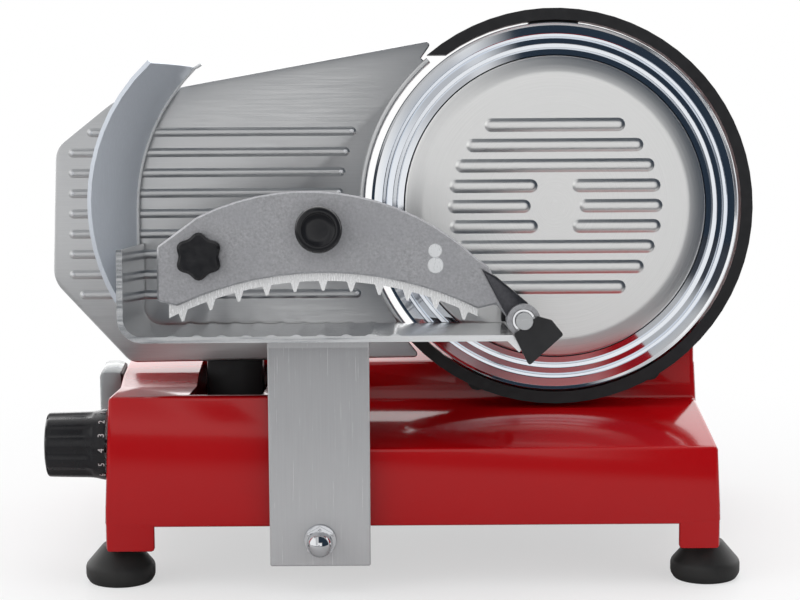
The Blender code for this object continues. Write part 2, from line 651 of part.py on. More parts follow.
def belt():
    inset = (PULLEY_WIDTH - BELT_WIDTH) / 2
    mesh = sheet("drive_belt", [belt_outline(0.001 + BELT_THICKNESS), belt_outline(0.001)],
                 PULLEY_FRONT + inset, PULLEY_FRONT + inset + BELT_WIDTH, "xz")
    keep(mesh, "drive_belt", PLATE, RUBBER)


def blade_and_cover():
    """The dished blade with its polished rings, and the ribbed plate that covers its disc."""
    disc, back, edge = -BLADE_DISC_FRONT, -BLADE_BACK, BLADE_RADIUS
    turned("blade", [(BLADE_BORE, disc), (COVER_RADIUS - 0.002, disc), (COVER_RADIUS + 0.0008, -0.0024),
                     (COVER_RADIUS + 0.0045, -0.0020), (COVER_RADIUS + 0.0050, -0.0014),
                     (COVER_RADIUS + 0.0072, -0.0014), (COVER_RADIUS + 0.0077, -0.0019),
                     (COVER_RADIUS + 0.0109, -0.0016), (COVER_RADIUS + 0.0114, -0.0010),
                     (COVER_RADIUS + 0.0132, -0.0010), (COVER_RADIUS + 0.0137, -0.0015),
                     (edge - 0.003, -0.0007), (edge, -0.0001), (edge, -0.0004), (edge - 0.004, -0.0022),
                     (COVER_RADIUS + 0.008, -0.0055), (COVER_RADIUS - 0.002, back), (BLADE_BORE, back)],
           (0.0, 0.0, 0.0), "-y", PLATE, CHROME, 56, closed=True)
    flat = COVER_RADIUS - COVER_RIM
    boss = -(BLADE_DISC_FRONT - 0.0013)
    hole = TIE_ROD_RADIUS + GAP
    profile = [(0.0, COVER_PROUD), (flat, COVER_PROUD), (COVER_RADIUS - 0.0006, 0.0004), (COVER_RADIUS, -0.0002),
               (COVER_RADIUS - 0.0006, -0.0010), (flat, COVER_PROUD - COVER_SHEET),
               (COVER_BOSS_RADIUS, COVER_PROUD - COVER_SHEET), (COVER_BOSS_RADIUS, boss), (hole, boss),
               (hole, 0.0008), (0.0, 0.0008)]
    cover = turned("blade_cover", profile, (0.0, 0.0, 0.0), "-y", PLATE, STEEL, 44)
    ribs = []
    for row in range(9):
        height = (4 - row) * RIB_PITCH
        reach = math.sqrt(COVER_RIB_REACH ** 2 - height ** 2)
        gap = {3: 0.0105, 4: 0.0147, 5: 0.0105}.get(row, 0.0)
        spans = [(-reach, -gap), (gap, reach)] if gap else [(-reach, reach)]
        for left, right in spans:
            outline = [stadium(left, right, height, COVER_RIB_WIDTH)]
            rib = sheet("rib", outline, -COVER_PROUD - COVER_RIB_RISE, -COVER_PROUD + 0.001, "xz")
            ribs.append(rib)
    boolean(cover, helper(joined("cover ribs", ribs), "cover ribs", PLATE), "UNION")


def ring_guard():
    outer = GUARD_INNER + GUARD_WIDTH
    outer_top = math.pi - math.asin(GUARD_TOP_CUT / outer)
    inner_top = math.pi - math.asin(GUARD_TOP_CUT / GUARD_INNER)
    outline = (arc((0.0, 0.0), outer, outer_top, GUARD_END_ANGLE, 52)
               + arc((0.0, 0.0), GUARD_INNER, GUARD_END_ANGLE, inner_top, 52))
    mesh = sheet("ring_guard", [outline], -GUARD_PROUD, GUARD_DEPTH - GUARD_PROUD, "xz")
    guard = keep(mesh, "ring_guard", PLATE, BLACK)
    back = TOWER_FRONT - GAP
    half = GUARD_ARM_WIDTH / 2
    arm = [box("arm", (-half, GUARD_DEPTH - GUARD_PROUD - 0.004, 0.052), (half, back, GUARD_INNER + 0.003), 0.001, 1)]
    for angle in GUARD_LUG_ANGLES:
        middle = GUARD_INNER + GUARD_WIDTH / 2
        start = (middle * math.cos(angle), back, middle * math.sin(angle))
        arm.append(cylinder("lug", 0.006, start, back - 0.009, "-y", 12))
    boolean(guard, helper(joined("guard arms", arm), "guard arms", PLATE), "UNION")


def slice_deflector():
    """The curved sheet behind the cutting side that throws each slice clear of the housing."""
    left, right, front, back = -0.1035, TOWER_LEFT - GAP, 0.0090, TOWER_FRONT + 0.016
    path = [(left, front), (left + 0.012, front + 0.001), (left + 0.025, front + 0.005),
            (right - 0.007, front + 0.013), (right - 0.0015, back - 0.004), (right, back + 0.012)]
    thick = 0.0015
    outer = [(x - thick * (i > 1), y + thick * (i < 5)) for i, (x, y) in enumerate(path)]
    mesh = sheet("slice_deflector", [path + outer[::-1]], -0.055, 0.055, "xy")
    plate = keep(mesh, "slice_deflector", PLATE, STEEL)
    limit = cylinder("deflector outline", BLADE_RADIUS - 0.004, (0.0, 0.080, 0.0), 0.080, "-y", 48)
    boolean(plate, helper(limit, "deflector outline", PLATE), "INTERSECT")


def gauge_outline():
    """The thickness plate's edge: a concave arc round the blade, and a slanted corner top and bottom left."""
    clear = GUARD_INNER + GUARD_WIDTH + 0.001
    top_turn, low_turn = math.radians(131.8), math.radians(220.5)
    inner = arc((0.0, 0.0), GAUGE_ARC, low_turn, top_turn, 22)
    top = (clear * math.cos(top_turn), clear * math.sin(top_turn))
    low = (clear * math.cos(low_turn), clear * math.sin(low_turn))
    corners = [(-0.0722, 0.0997), (-0.2622, 0.0659), (-0.2988, 0.0366), (-0.3009, -0.0408),
               (-0.2550, -0.0923), (-0.0809, -0.0902)]
    radii = [0.002, 0.012, 0.008, 0.010, 0.006, 0.002]
    around = rounded([top] + corners + [low], [0.0] + radii + [0.0], 4)
    return around + inner


def gauge_left(height):
    """How far left the gauge plate reaches at a height."""
    edge = [(0.0366, -0.2988), (0.0659, -0.2622)]
    low = [(-0.0408, -0.3009), (-0.0923, -0.2550)]
    for (z0, x0), (z1, x1) in (edge, low):
        if (height - z0) * (z1 - z0) > 0:
            return x0 + (x1 - x0) * (height - z0) / (z1 - z0)
    return edge[0][1]


def gauge():
    """The ribbed thickness plate, and the support that carries it through the slot to its guide."""
    mesh = sheet("gauge_plate", [gauge_outline()], 0.0, GAUGE_THICKNESS, "xz")
    plate = keep(soften(mesh, 0.0010, 1, 40.0), "gauge_plate", PLATE, ALUMINIUM)
    ribs = []
    for row in range(9):
        height = 0.0456 - row * RIB_PITCH
        left = gauge_left(height) + 0.0075
        right = -math.sqrt(GAUGE_RIB_END ** 2 - height ** 2)
        outline = [stadium(left, right, height, GAUGE_RIB_WIDTH)]
        ribs.append(sheet("rib", outline, -GAUGE_RIB_RISE, 0.0015, "xz"))
    boolean(plate, helper(joined("gauge ribs", ribs), "gauge ribs", PLATE), "UNION")
    hang(plate, GAUGE)
    middle, half = SLOT_X - BLADE_X, SUPPORT_WIDTH / 2
    front = GAUGE_THICKNESS + GAP
    pin_y, pin_z = levelled(DIAL_Y, DIAL_Z)
    block = box("gauge_support", (middle - half, pin_y + 0.005, GUIDE_BAR_Z - 0.013),
                (middle + half, front + SUPPORT_ARM, GUIDE_BAR_Z + 0.013), 0.0015)
    support = keep(block, "gauge_support", PLATE, BLACK)
    arm = box("support arm", (middle - half, front, GUIDE_BAR_Z + 0.004),
              (middle + half, front + SUPPORT_ARM, -0.052), 0.0015)
    boolean(support, helper(arm, "support arm", PLATE), "UNION")
    pin_start = (CAM_X - CAM_THICKNESS / 2 - BLADE_X + 0.001, pin_y + CAM_GROOVE_START, pin_z)
    pin = cylinder("cam pin", CAM_PIN_RADIUS, pin_start, SLOT_X - half - CAM_X + 0.004, "x", 16)
    boolean(support, helper(pin, "cam pin", PLATE), "UNION")
    bore = cylinder("support bore", GUIDE_BAR_RADIUS + GAP, (middle, 0.050, GUIDE_BAR_Z), 0.150, "-y", 24)
    boolean(support, helper(bore, "support bore", PLATE))
    hang(support, GAUGE)
    bar = cylinder("gauge_guide_bar", GUIDE_BAR_RADIUS, (middle, 0.0470, GUIDE_BAR_Z), 0.143, "-y", 24)
    keep(bar, "gauge_guide_bar", PLATE, CHROME)


def fluted(radius, depth, lobes, points, power):
    """A round outline with hollows spaced evenly round it."""
    outline = []
    for number in range(points):
        turn = 2 * math.pi * number / points
        hollow = (0.5 + 0.5 * math.cos(lobes * turn)) ** power
        outline.append(((radius - depth * hollow) * math.cos(turn), (radius - depth * hollow) * math.sin(turn)))
    return outline


def dial():
    """The fluted dial, its shaft and the cam disc with the spiral groove that moves the gauge plate."""
    wall = -BASE_WIDTH / 2 - BASE_DRAFT
    skirt = wall - 0.0045
    end = wall - 0.0045 - 0.034
    turned("thickness_dial", [(0.0, wall - GAP), (0.011, wall - GAP), (0.011, skirt), (DIAL_SKIRT_RADIUS, skirt),
                              (DIAL_SKIRT_RADIUS, skirt - 0.003), (DIAL_SKIRT_RADIUS - 0.004, skirt - 0.009),
                              (DIAL_GRIP_RADIUS - 0.0025, skirt - 0.011), (0.0, skirt - 0.011)],
           (0.0, 0.0, 0.0), "x", DIAL, BLACK, 36)
    knob = bpy.data.objects["thickness_dial"]
    grip = [sheet("grip", [fluted(DIAL_GRIP_RADIUS, 0.0022, DIAL_FLUTES, 54, 2)], end, skirt - 0.010, "yz")]
    soften(grip[0], 0.0012, 1, 60.0)
    grip.append(box("index", (end - 0.0012, -0.0016, 0.002), (end + 0.002, 0.0016, DIAL_GRIP_RADIUS - 0.003)))
    first = helper(grip[0], "dial grip", DIAL)
    boolean(knob, first, "UNION")
    boolean(knob, helper(grip[1], "dial index", DIAL), "UNION")
    shaft_bore = cylinder("shaft bore", DIAL_SHAFT_RADIUS + GAP, (skirt - 0.008, 0.0, 0.0), 0.030, "x", 16)
    boolean(knob, helper(shaft_bore, "shaft bore", DIAL))
    cam_left = CAM_X - CAM_THICKNESS - 0.0005
    shaft_start = skirt - 0.0075
    shaft = cylinder("dial_shaft", DIAL_SHAFT_RADIUS, (shaft_start, 0.0, 0.0), cam_left - GAP - shaft_start, "x", 16)
    keep(shaft, "dial_shaft", DIAL, STEEL)
    disc = cylinder("cam_disc", CAM_RADIUS, (cam_left, 0.0, 0.0), CAM_THICKNESS, "x", 36)
    cam = keep(disc, "cam_disc", DIAL, STEEL)
    steps = 25
    inner, outer = [], []
    half = CAM_PIN_RADIUS + 0.0008
    for number in range(-2, steps + 2):
        share = number / (steps - 1)
        radius = CAM_GROOVE_START + GAUGE_TRAVEL * share
        turn = -TILT + DIAL_TURN * share
        inner.append(((radius - half) * math.cos(turn), (radius - half) * math.sin(turn)))
        outer.append(((radius + half) * math.cos(turn), (radius + half) * math.sin(turn)))
    face = cam_left + CAM_THICKNESS
    groove = sheet("spiral groove", [outer + inner[::-1]], face - 0.0040, face + 0.002, "yz")
    boolean(cam, helper(groove, "spiral groove", DIAL))


def switch():
    """The start and stop buttons under their splash hood."""
    wall = -BASE_WIDTH / 2 - 0.0023
    low_y, high_y = SWITCH_Y - SWITCH_WIDTH / 2, SWITCH_Y + SWITCH_WIDTH / 2
    low_z, high_z = SWITCH_Z - SWITCH_HEIGHT / 2, SWITCH_Z + SWITCH_HEIGHT / 2
    hood = keep(box("switch_hood", (wall - SWITCH_HOOD + 0.004, low_y, low_z), (wall, high_y, high_z), 0.004),
                "switch_hood", MACHINE, HOOD)
    inside = SWITCH_HOOD_WALL
    hollow = box("hood hollow", (wall - SWITCH_HOOD + 0.004 + inside, low_y + inside, low_z + inside),
                 (wall + 0.010, high_y - inside, high_z - inside), 0.001, 1)
    boolean(hood, helper(hollow, "hood hollow", MACHINE))
    front = wall - 0.004
    body = keep(box("switch_body", (front, low_y + inside + GAP, low_z + inside + GAP),
                    (wall, high_y - inside - GAP, high_z - inside - GAP), 0.0008, 1), "switch_body", MACHINE, BLACK)
    inner = box("switch case", (wall - 0.002, SWITCH_Y - 0.0117, SWITCH_Z - 0.0107),
                (wall + 0.026, SWITCH_Y + 0.0117, SWITCH_Z + 0.0107))
    boolean(body, helper(inner, "switch case", MACHINE), "UNION")
    bores = []
    for name, offset, spec in (("start_button", 0.0075, HOOD), ("stop_button", -0.0075, BLACK)):
        bores.append(cylinder("button bore", BUTTON_RADIUS + GAP, (front - 0.002, SWITCH_Y + offset, SWITCH_Z),
                              BUTTON_BORE + 0.002, "x", 16))
        length = BUTTON_PROUD + BUTTON_BORE - BUTTON_TRAVEL - GAP
        button = cylinder(name, BUTTON_RADIUS, (0.0, 0.0, 0.0), length, "x", 20)
        piece = keep(soften(button, 0.0008, 1, 40.0), name, MACHINE, spec)
        piece.location = (front - BUTTON_PROUD, SWITCH_Y + offset, SWITCH_Z)
    boolean(body, helper(joined("button bores", bores), "button bores", MACHINE))


def hang(piece, empty):
    """Moves a piece, drawn in its parent's frame, to an empty on its joint's axis."""
    matrix = Matrix.Translation(-empty.location) @ piece.matrix_basis
    piece.parent = empty
    piece.matrix_basis = matrix


def carriage_frame():
    """The block that slides on the rod under the base, and the post that carries the tray."""
    half = BLOCK_WIDTH / 2
    back = POST_FRONT + POST_THICKNESS + GAP
    outline = [(back, 0.0225), (ROD_Y - 0.020, 0.0225), (ROD_Y - 0.004, 0.0300), (GUIDE_Y + 0.009, 0.0340),
               (GUIDE_Y + 0.009, GUIDE_Z + 0.002), (GUIDE_Y + GUIDE_SIZE / 2 + 0.0010, GUIDE_Z + 0.002),
               (GUIDE_Y + GUIDE_SIZE / 2 + 0.0010, GUIDE_Z - GUIDE_SIZE / 2 - GAP),
               (GUIDE_Y - GUIDE_SIZE / 2 - 0.0010, GUIDE_Z - GUIDE_SIZE / 2 - GAP),
               (GUIDE_Y - GUIDE_SIZE / 2 - 0.0010, GUIDE_Z + 0.002), (ROD_Y, GUIDE_Z + 0.002),
               (ROD_Y - 0.010, 0.0375), (back, 0.0375)]
    mesh = soften(sheet("carriage_block", [outline], POST_X - half, POST_X + half, "yz"), 0.001, 1)
    block = keep(mesh, "carriage_block", MACHINE, CAST)
    bush_outer = ROD_RADIUS + GAP + BUSH_WALL
    collar = cylinder("collar", bush_outer + 0.004, (POST_X - COLLAR_WIDTH / 2, ROD_Y, ROD_Z), COLLAR_WIDTH, "x", 24)
    boolean(block, helper(collar, "collar", MACHINE), "UNION")
    bores = [cylinder("collar bore", bush_outer + GAP, (POST_X - COLLAR_WIDTH / 2 - 0.01, ROD_Y, ROD_Z),
                      COLLAR_WIDTH + 0.02, "x", 24)]
    bores.append(cylinder("stud bore", STUD_RADIUS + GAP, (POST_X, 0.012, STUD_Z), 0.030, "-y", 16))
    boolean(block, helper(joined("block bores", bores), "block bores", MACHINE))
    hang(block, CARRIAGE)
    collar = COLLAR_WIDTH / 2
    for name, start in (("left_bush", POST_X - collar), ("right_bush", POST_X + collar - BUSH_LENGTH)):
        bush = turned(name, [(ROD_RADIUS + GAP, BUSH_LENGTH), (bush_outer, BUSH_LENGTH), (bush_outer, 0.0),
                             (ROD_RADIUS + GAP, 0.0)], (start, ROD_Y, ROD_Z), "x", MACHINE, BRONZE, 24, closed=True)
        hang(bush, CARRIAGE)
    post()
    reach = BASE_WIDTH / 2 - BASE_WALL - 0.0015
    rod = cylinder("carriage_rod", ROD_RADIUS, (-reach, ROD_Y, ROD_Z), 2 * reach, "x", 24)
    keep(rod, "carriage_rod", MACHINE, CHROME)
    side = GUIDE_SIZE / 2
    bar = box("carriage_guide_bar", (-reach, GUIDE_Y - side, GUIDE_Z - side), (reach, GUIDE_Y + side, GUIDE_Z + side))
    keep(bar, "carriage_guide_bar", MACHINE, STEEL)


def post():
    left, right = POST_X - POST_WIDTH / 2, POST_X + POST_WIDTH / 2
    back = POST_FRONT + POST_THICKNESS
    under = TRAY_FLOOR - TRAY_SHEET - GAP
    start = levelled(POST_FRONT, tilted(0.0, -0.1200, under)[2])[0]
    top = tilted(0.0, start, under - 0.002)[2]
    bar = keep(box("carriage_post", (left, POST_FRONT, POST_LOWER), (right, back, top), 0.0008, 1),
               "carriage_post", MACHINE, STEEL)
    shelf = box("post shelf", (left - BLADE_X, start, under - 0.004), (right - BLADE_X, start + 0.075, under))
    boolean(bar, helper(shelf, "post shelf", PLATE), "UNION")
    bore = cylinder("post bore", STUD_RADIUS + GAP, (POST_X, back + 0.01, STUD_Z), 0.040, "-y", 16)
    boolean(bar, helper(bore, "post bore", MACHINE))
    hang(bar, CARRIAGE)
    front = POST_FRONT - GAP
    washer = turned("post_washer", [(STUD_RADIUS + GAP, 0.0015), (WASHER_RADIUS - 0.0004, 0.0015),
                                    (WASHER_RADIUS, 0.0), (STUD_RADIUS + GAP, 0.0)],
                    (POST_X, front, STUD_Z), "-y", MACHINE, CHROME, 32, closed=True)
    hang(washer, CARRIAGE)
    seat = front - 0.0015 - GAP
    nut = cylinder("cap_nut", NUT_ACROSS / 2, (POST_X, seat, STUD_Z), 0.007, "-y", 6)
    nut = keep(nut, "cap_nut", MACHINE, CHROME)
    dome = bmesh.new()
    bmesh.ops.create_uvsphere(dome, u_segments=16, v_segments=10, radius=0.0074)
    bmesh.ops.translate(dome, vec=(POST_X, seat - 0.0078, STUD_Z), verts=dome.verts)
    boolean(nut, helper(mesh_from(dome, "nut dome"), "nut dome", MACHINE), "UNION")
    stud_hole = cylinder("stud hole", STUD_RADIUS + GAP, (POST_X, seat + 0.002, STUD_Z), 0.0085, "-y", 16)
    boolean(nut, helper(stud_hole, "stud hole", MACHINE))
    hang(nut, CARRIAGE)
    stud = keep(cylinder("post_stud", STUD_RADIUS, (POST_X, 0.0115, STUD_Z), 0.0115 - seat + 0.006, "-y", 16),
                "post_stud", MACHINE, STEEL)
    hang(stud, CARRIAGE)


def tray():
    """The folded food tray, whose floor ribs are drawn into its section."""
    floor, under = TRAY_FLOOR, TRAY_FLOOR - TRAY_SHEET
    outside = [(TRAY_LEFT, TRAY_WALL_TOP), (TRAY_LEFT, under), (TRAY_RIGHT - 0.0014, under),
               (TRAY_RIGHT + 0.0050, under - 0.0061)]
    inside = [(TRAY_RIGHT + 0.0074, floor - 0.0071), (TRAY_RIGHT + 0.0014, floor)]
    section = rounded(outside + inside + [(TRAY_LEFT + TRAY_SHEET, floor), (TRAY_LEFT + TRAY_SHEET, TRAY_WALL_TOP)],
                      [0.0012, TRAY_CORNER, 0.0, 0.0, 0.0, 0.0, TRAY_CORNER - TRAY_SHEET, 0.0012], 6)
    bend = max(i for i, (x, z) in enumerate(section) if abs(z - floor) < 1e-6 and x > TRAY_RIGHT) + 1
    ribs = []
    for number in reversed(range(TRAY_RIBS)):
        middle = TRAY_RIB_START + TRAY_RIB_PITCH * number
        half, crest = TRAY_RIB_WIDTH / 2, TRAY_RIB_WIDTH / 5
        ribs += [(middle + half, floor), (middle + crest, floor + TRAY_RIB_RISE),
                 (middle - crest, floor + TRAY_RIB_RISE), (middle - half, floor)]
    section[bend:bend] = ribs
    mesh = sheet("food_tray", [section], TRAY_FRONT, TRAY_BACK, "xz")
    hang(keep(mesh, "food_tray", PLATE, ALUMINIUM), TRAY)


def hand_guard():
    """The flared shield that stands on the tray's left wall."""
    rows, columns = 15, 5
    far_radius, near_radius = 0.1178, 0.1100
    far_x, near_x, near_height = TRAY_LEFT - GAP, -0.2725, 0.004
    front, back = -0.052, TRAY_BACK
    work = bmesh.new()
    grid = []
    for row in range(rows):
        share = row / (rows - 1)
        far_z = -0.050 + (0.0838 + 0.050) * share
        near_z = -0.0531 + (0.0849 + 0.0531) * share
        far = far_x + (far_radius - math.sqrt(far_radius ** 2 - max(far_z, 0.0) ** 2))
        near = near_x + near_radius - math.sqrt(near_radius ** 2 - (near_z - near_height) ** 2)
        line = []
        for column in range(columns):
            across = column / (columns - 1)
            x = far + (near - far) * across ** 1.7
            line.append(work.verts.new((x, back + (front - back) * across, far_z + (near_z - far_z) * across)))
        grid.append(line)
    for low, high in zip(grid, grid[1:]):
        for i in range(columns - 1):
            work.faces.new((low[i], low[i + 1], high[i + 1], high[i]))
    guard = keep(mesh_from(work, "hand_guard"), "hand_guard", PLATE, ALUMINIUM)
    thick = guard.modifiers.new("sheet", "SOLIDIFY")
    thick.thickness = HAND_GUARD_SHEET
    thick.offset = 1.0
    hang(guard, TRAY)
    return guard


def pusher_band(x, radius, centre):
    return centre[1] + math.sqrt(radius ** 2 - (x - centre[0]) ** 2)


def pusher():
    """The meat grip: a cast plate with a neck and a hub that slides and swings on its rod."""
    back = PUSHER_Y + PUSHER_THICKNESS / 2
    front = PUSHER_Y - PUSHER_THICKNESS / 2
    places = [PUSHER_LEFT + (PUSHER_RIGHT - PUSHER_LEFT) * i / 16 for i in range(17)]
    top = [(x, pusher_band(x, PUSHER_TOP_ARC, PUSHER_TOP_CENTRE)) for x in places if x > PUSHER_LEFT + 0.012]
    low = [(x, pusher_band(x, PUSHER_LOW_ARC, PUSHER_LOW_CENTRE)) for x in places if x > PUSHER_LEFT + 0.008]
    neck = [(PUSHER_RIGHT + 0.006, -0.0320), (-0.0360, -0.0470), (-0.0250, -0.0530), (-0.0330, -0.0615),
            (-0.0400, -0.0530)]
    left = [(PUSHER_LEFT, -0.0500), (PUSHER_LEFT, -0.0200)]
    mesh = soften(sheet("pusher_plate", [top + neck + low[::-1] + left], front, back, "xz"), 0.0010, 1, 40.0)
    plate = keep(mesh, "pusher_plate", PLATE, CAST)
    hub_front, hub_back = TRAY_FRONT - 0.0002, back + 0.0055
    hub = cylinder("pusher hub", PUSHER_HUB_RADIUS, (PUSHER_X, hub_back, PUSHER_Z), hub_back - hub_front, "-y", 28)
    boolean(plate, helper(hub, "pusher hub", PLATE), "UNION")
    bush_outer = PUSHER_ROD_RADIUS + GAP + 0.0012
    bore = cylinder("hub bore", bush_outer + GAP, (PUSHER_X, 0.0, PUSHER_Z), 0.2, "-y", 24)
    boolean(plate, helper(bore, "hub bore", PLATE))
    hang(plate, PUSHER)
    length = hub_back - hub_front
    bush = turned("pusher_bush", [(PUSHER_ROD_RADIUS + GAP, length), (bush_outer, length), (bush_outer, 0.0),
                                  (PUSHER_ROD_RADIUS + GAP, 0.0)], (PUSHER_X, hub_back, PUSHER_Z), "-y",
                  PLATE, BRONZE, 24, closed=True)
    hang(bush, PUSHER)
    rod_front = hub_front - 0.0088
    rod = cylinder("pusher_rod", PUSHER_ROD_RADIUS, (PUSHER_X, TRAY_BACK - 0.0005, PUSHER_Z),
                   TRAY_BACK - 0.0005 - rod_front, "-y", 24)
    hang(keep(rod, "pusher_rod", PLATE, STEEL), TRAY)
    teeth(back + GAP)
    knobs(front - GAP)
    rod_blocks(hub_front - GAP)


def teeth(front):
    start, end = PUSHER_LEFT + 0.006, PUSHER_RIGHT
    upper, lower = [], []
    for i in range(25):
        x = start + (end - start) * i / 24
        upper.append((x, pusher_band(x, PUSHER_LOW_ARC, PUSHER_LOW_CENTRE) + 0.004))
    pitch = (end - start) / TEETH
    for i in range(TEETH):
        for share, drop in ((0.0, 0.0030), (0.30, 0.0030), (0.5, 0.0030 + TOOTH_LENGTH), (0.70, 0.0030)):
            x = start + pitch * (i + share)
            lower.append((x, pusher_band(x, PUSHER_LOW_ARC, PUSHER_LOW_CENTRE) - drop))
    lower.append((end, pusher_band(end, PUSHER_LOW_ARC, PUSHER_LOW_CENTRE) - 0.0030))
    mesh = sheet("tooth_strip", [upper + lower[::-1]], front, front + TOOTH_STRIP, "xz")
    hang(keep(mesh, "tooth_strip", PLATE, STEEL), PUSHER)


def knobs(seat):
    grip = turned("pusher_knob", [(0.0, GRIP_LENGTH), (GRIP_RADIUS - 0.0045, GRIP_LENGTH),
                                  (GRIP_RADIUS - 0.001, GRIP_LENGTH - 0.0015), (GRIP_RADIUS, GRIP_LENGTH - 0.005),
                                  (GRIP_RADIUS - 0.0015, GRIP_LENGTH - 0.012), (GRIP_RADIUS - 0.006, 0.010),
                                  (GRIP_RADIUS - 0.005, 0.0), (0.0, 0.0)],
                  (GRIP_X, seat, GRIP_Z), "-y", PLATE, BLACK, 28)
    hang(grip, PUSHER)
    star = sheet("star_knob", [fluted(STAR_RADIUS, 0.0022, 6, 48, 1)], seat - 0.015, seat - 0.004, "xz")
    star = keep(soften(star, 0.0015, 1, 60.0), "star_knob", PLATE, BLACK)
    boss = cylinder("star boss", 0.0070, (0.0, seat, 0.0), 0.006, "-y", 20)
    star.location = (STAR_X, 0.0, STAR_Z)
    boss = helper(boss, "star boss", PLATE)
    boss.location = (STAR_X, 0.0, STAR_Z)
    boolean(star, boss, "UNION")
    hang(star, PUSHER)


def rod_blocks(front):
    """The two black blocks that hold the pusher rod at the tray's right edge."""
    corners = [(-0.0310, -0.0686), (-0.0180, -0.0588), (-0.0100, -0.0610), (-0.0036, -0.0690), (-0.0226, -0.0860)]
    mesh = sheet("front_rod_block", [rounded(corners, 0.0012, 3)], front - 0.0085, front, "xz")
    block = keep(mesh, "front_rod_block", PLATE, BLACK)
    saddle = cylinder("rod saddle", PUSHER_ROD_RADIUS + GAP, (PUSHER_X, 0.0, PUSHER_Z), 0.2, "-y", 24)
    saddle = helper(saddle, "rod saddle", PLATE)
    boolean(block, saddle)
    hang(block, TRAY)
    corners = [(-0.0330, -0.0685), (-0.0330, -0.0570), (-0.0180, -0.0535), (-0.0080, -0.0580), (-0.0036, -0.0690),
               (-0.0160, -0.0820), (-0.0240, -0.0762), (-0.0305, -0.0685)]
    mesh = sheet("rear_rod_block", [corners], TRAY_BACK - 0.010, TRAY_BACK, "xz")
    block = keep(mesh, "rear_rod_block", PLATE, BLACK)
    boolean(block, saddle)
    hang(block, TRAY)


clear_scene()
PARTS = new_collection("meat_slicer")
CUTTERS = new_collection("cutters", hidden=True)
MACHINE = new_empty("machine", None, (-(MACHINE_LEFT + MACHINE_RIGHT) / 2, -(MACHINE_FRONT + MACHINE_BACK) / 2, 0.0))
PLATE = new_empty("plate_frame", MACHINE, (BLADE_X, BLADE_Y, BLADE_Z), -TILT)
CARRIAGE = new_empty("carriage_axis", MACHINE, (0.0, ROD_Y, ROD_Z))
TRAY = new_empty("tray_axis", PLATE, (0.0, 0.0, 0.0))
PUSHER = new_empty("pusher_axis", PLATE, (PUSHER_X, PUSHER_Y, PUSHER_Z))
GAUGE = new_empty("gauge_axis", PLATE, (SLOT_X - BLADE_X, 0.0, GUIDE_BAR_Z))
DIAL = new_empty("dial_axis", MACHINE, (0.0, DIAL_Y, DIAL_Z))
base_casting()
base_fittings()
drive()
blade_and_cover()
ring_guard()
slice_deflector()
gauge()
dial()
switch()
carriage_frame()
tray()
hand_guard()
pusher()
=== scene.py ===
"""The looks of an electric food slicer: its finishes, small detail, camera, lights and pale studio.

Metres, in the frame of the solid model: X to the user's right, Y away from the user, Z up, and Z = 0 on
the table. The plate frame leans back about X with the blade. Its origin is the blade's centre, X runs
right, Y away from the user and Z up the thickness plate.
"""

import math

import bmesh
import bpy
from mathutils import Matrix, Vector


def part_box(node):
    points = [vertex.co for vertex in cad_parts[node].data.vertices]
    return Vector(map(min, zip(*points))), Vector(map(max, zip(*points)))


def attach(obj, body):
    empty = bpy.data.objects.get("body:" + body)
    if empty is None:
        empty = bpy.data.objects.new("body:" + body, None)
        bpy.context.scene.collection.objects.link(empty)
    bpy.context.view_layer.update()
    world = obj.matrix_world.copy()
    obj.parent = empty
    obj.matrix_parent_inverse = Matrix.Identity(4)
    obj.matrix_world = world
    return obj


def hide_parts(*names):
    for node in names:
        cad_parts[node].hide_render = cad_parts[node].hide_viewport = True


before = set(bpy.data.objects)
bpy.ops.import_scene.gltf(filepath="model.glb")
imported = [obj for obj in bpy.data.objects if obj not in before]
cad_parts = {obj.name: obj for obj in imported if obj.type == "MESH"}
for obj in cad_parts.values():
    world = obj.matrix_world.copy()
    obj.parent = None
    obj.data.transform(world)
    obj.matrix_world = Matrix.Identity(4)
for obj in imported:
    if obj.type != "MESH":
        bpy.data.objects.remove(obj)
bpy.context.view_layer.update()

TILT = math.radians(8.0)
BLADE_CENTRE = Vector((0.0912, 0.00695, 0.2027))
PLATE = Matrix.Translation(BLADE_CENTRE) @ Matrix.Rotation(-TILT, 4, "X")
BLADE_RADIUS = 0.110


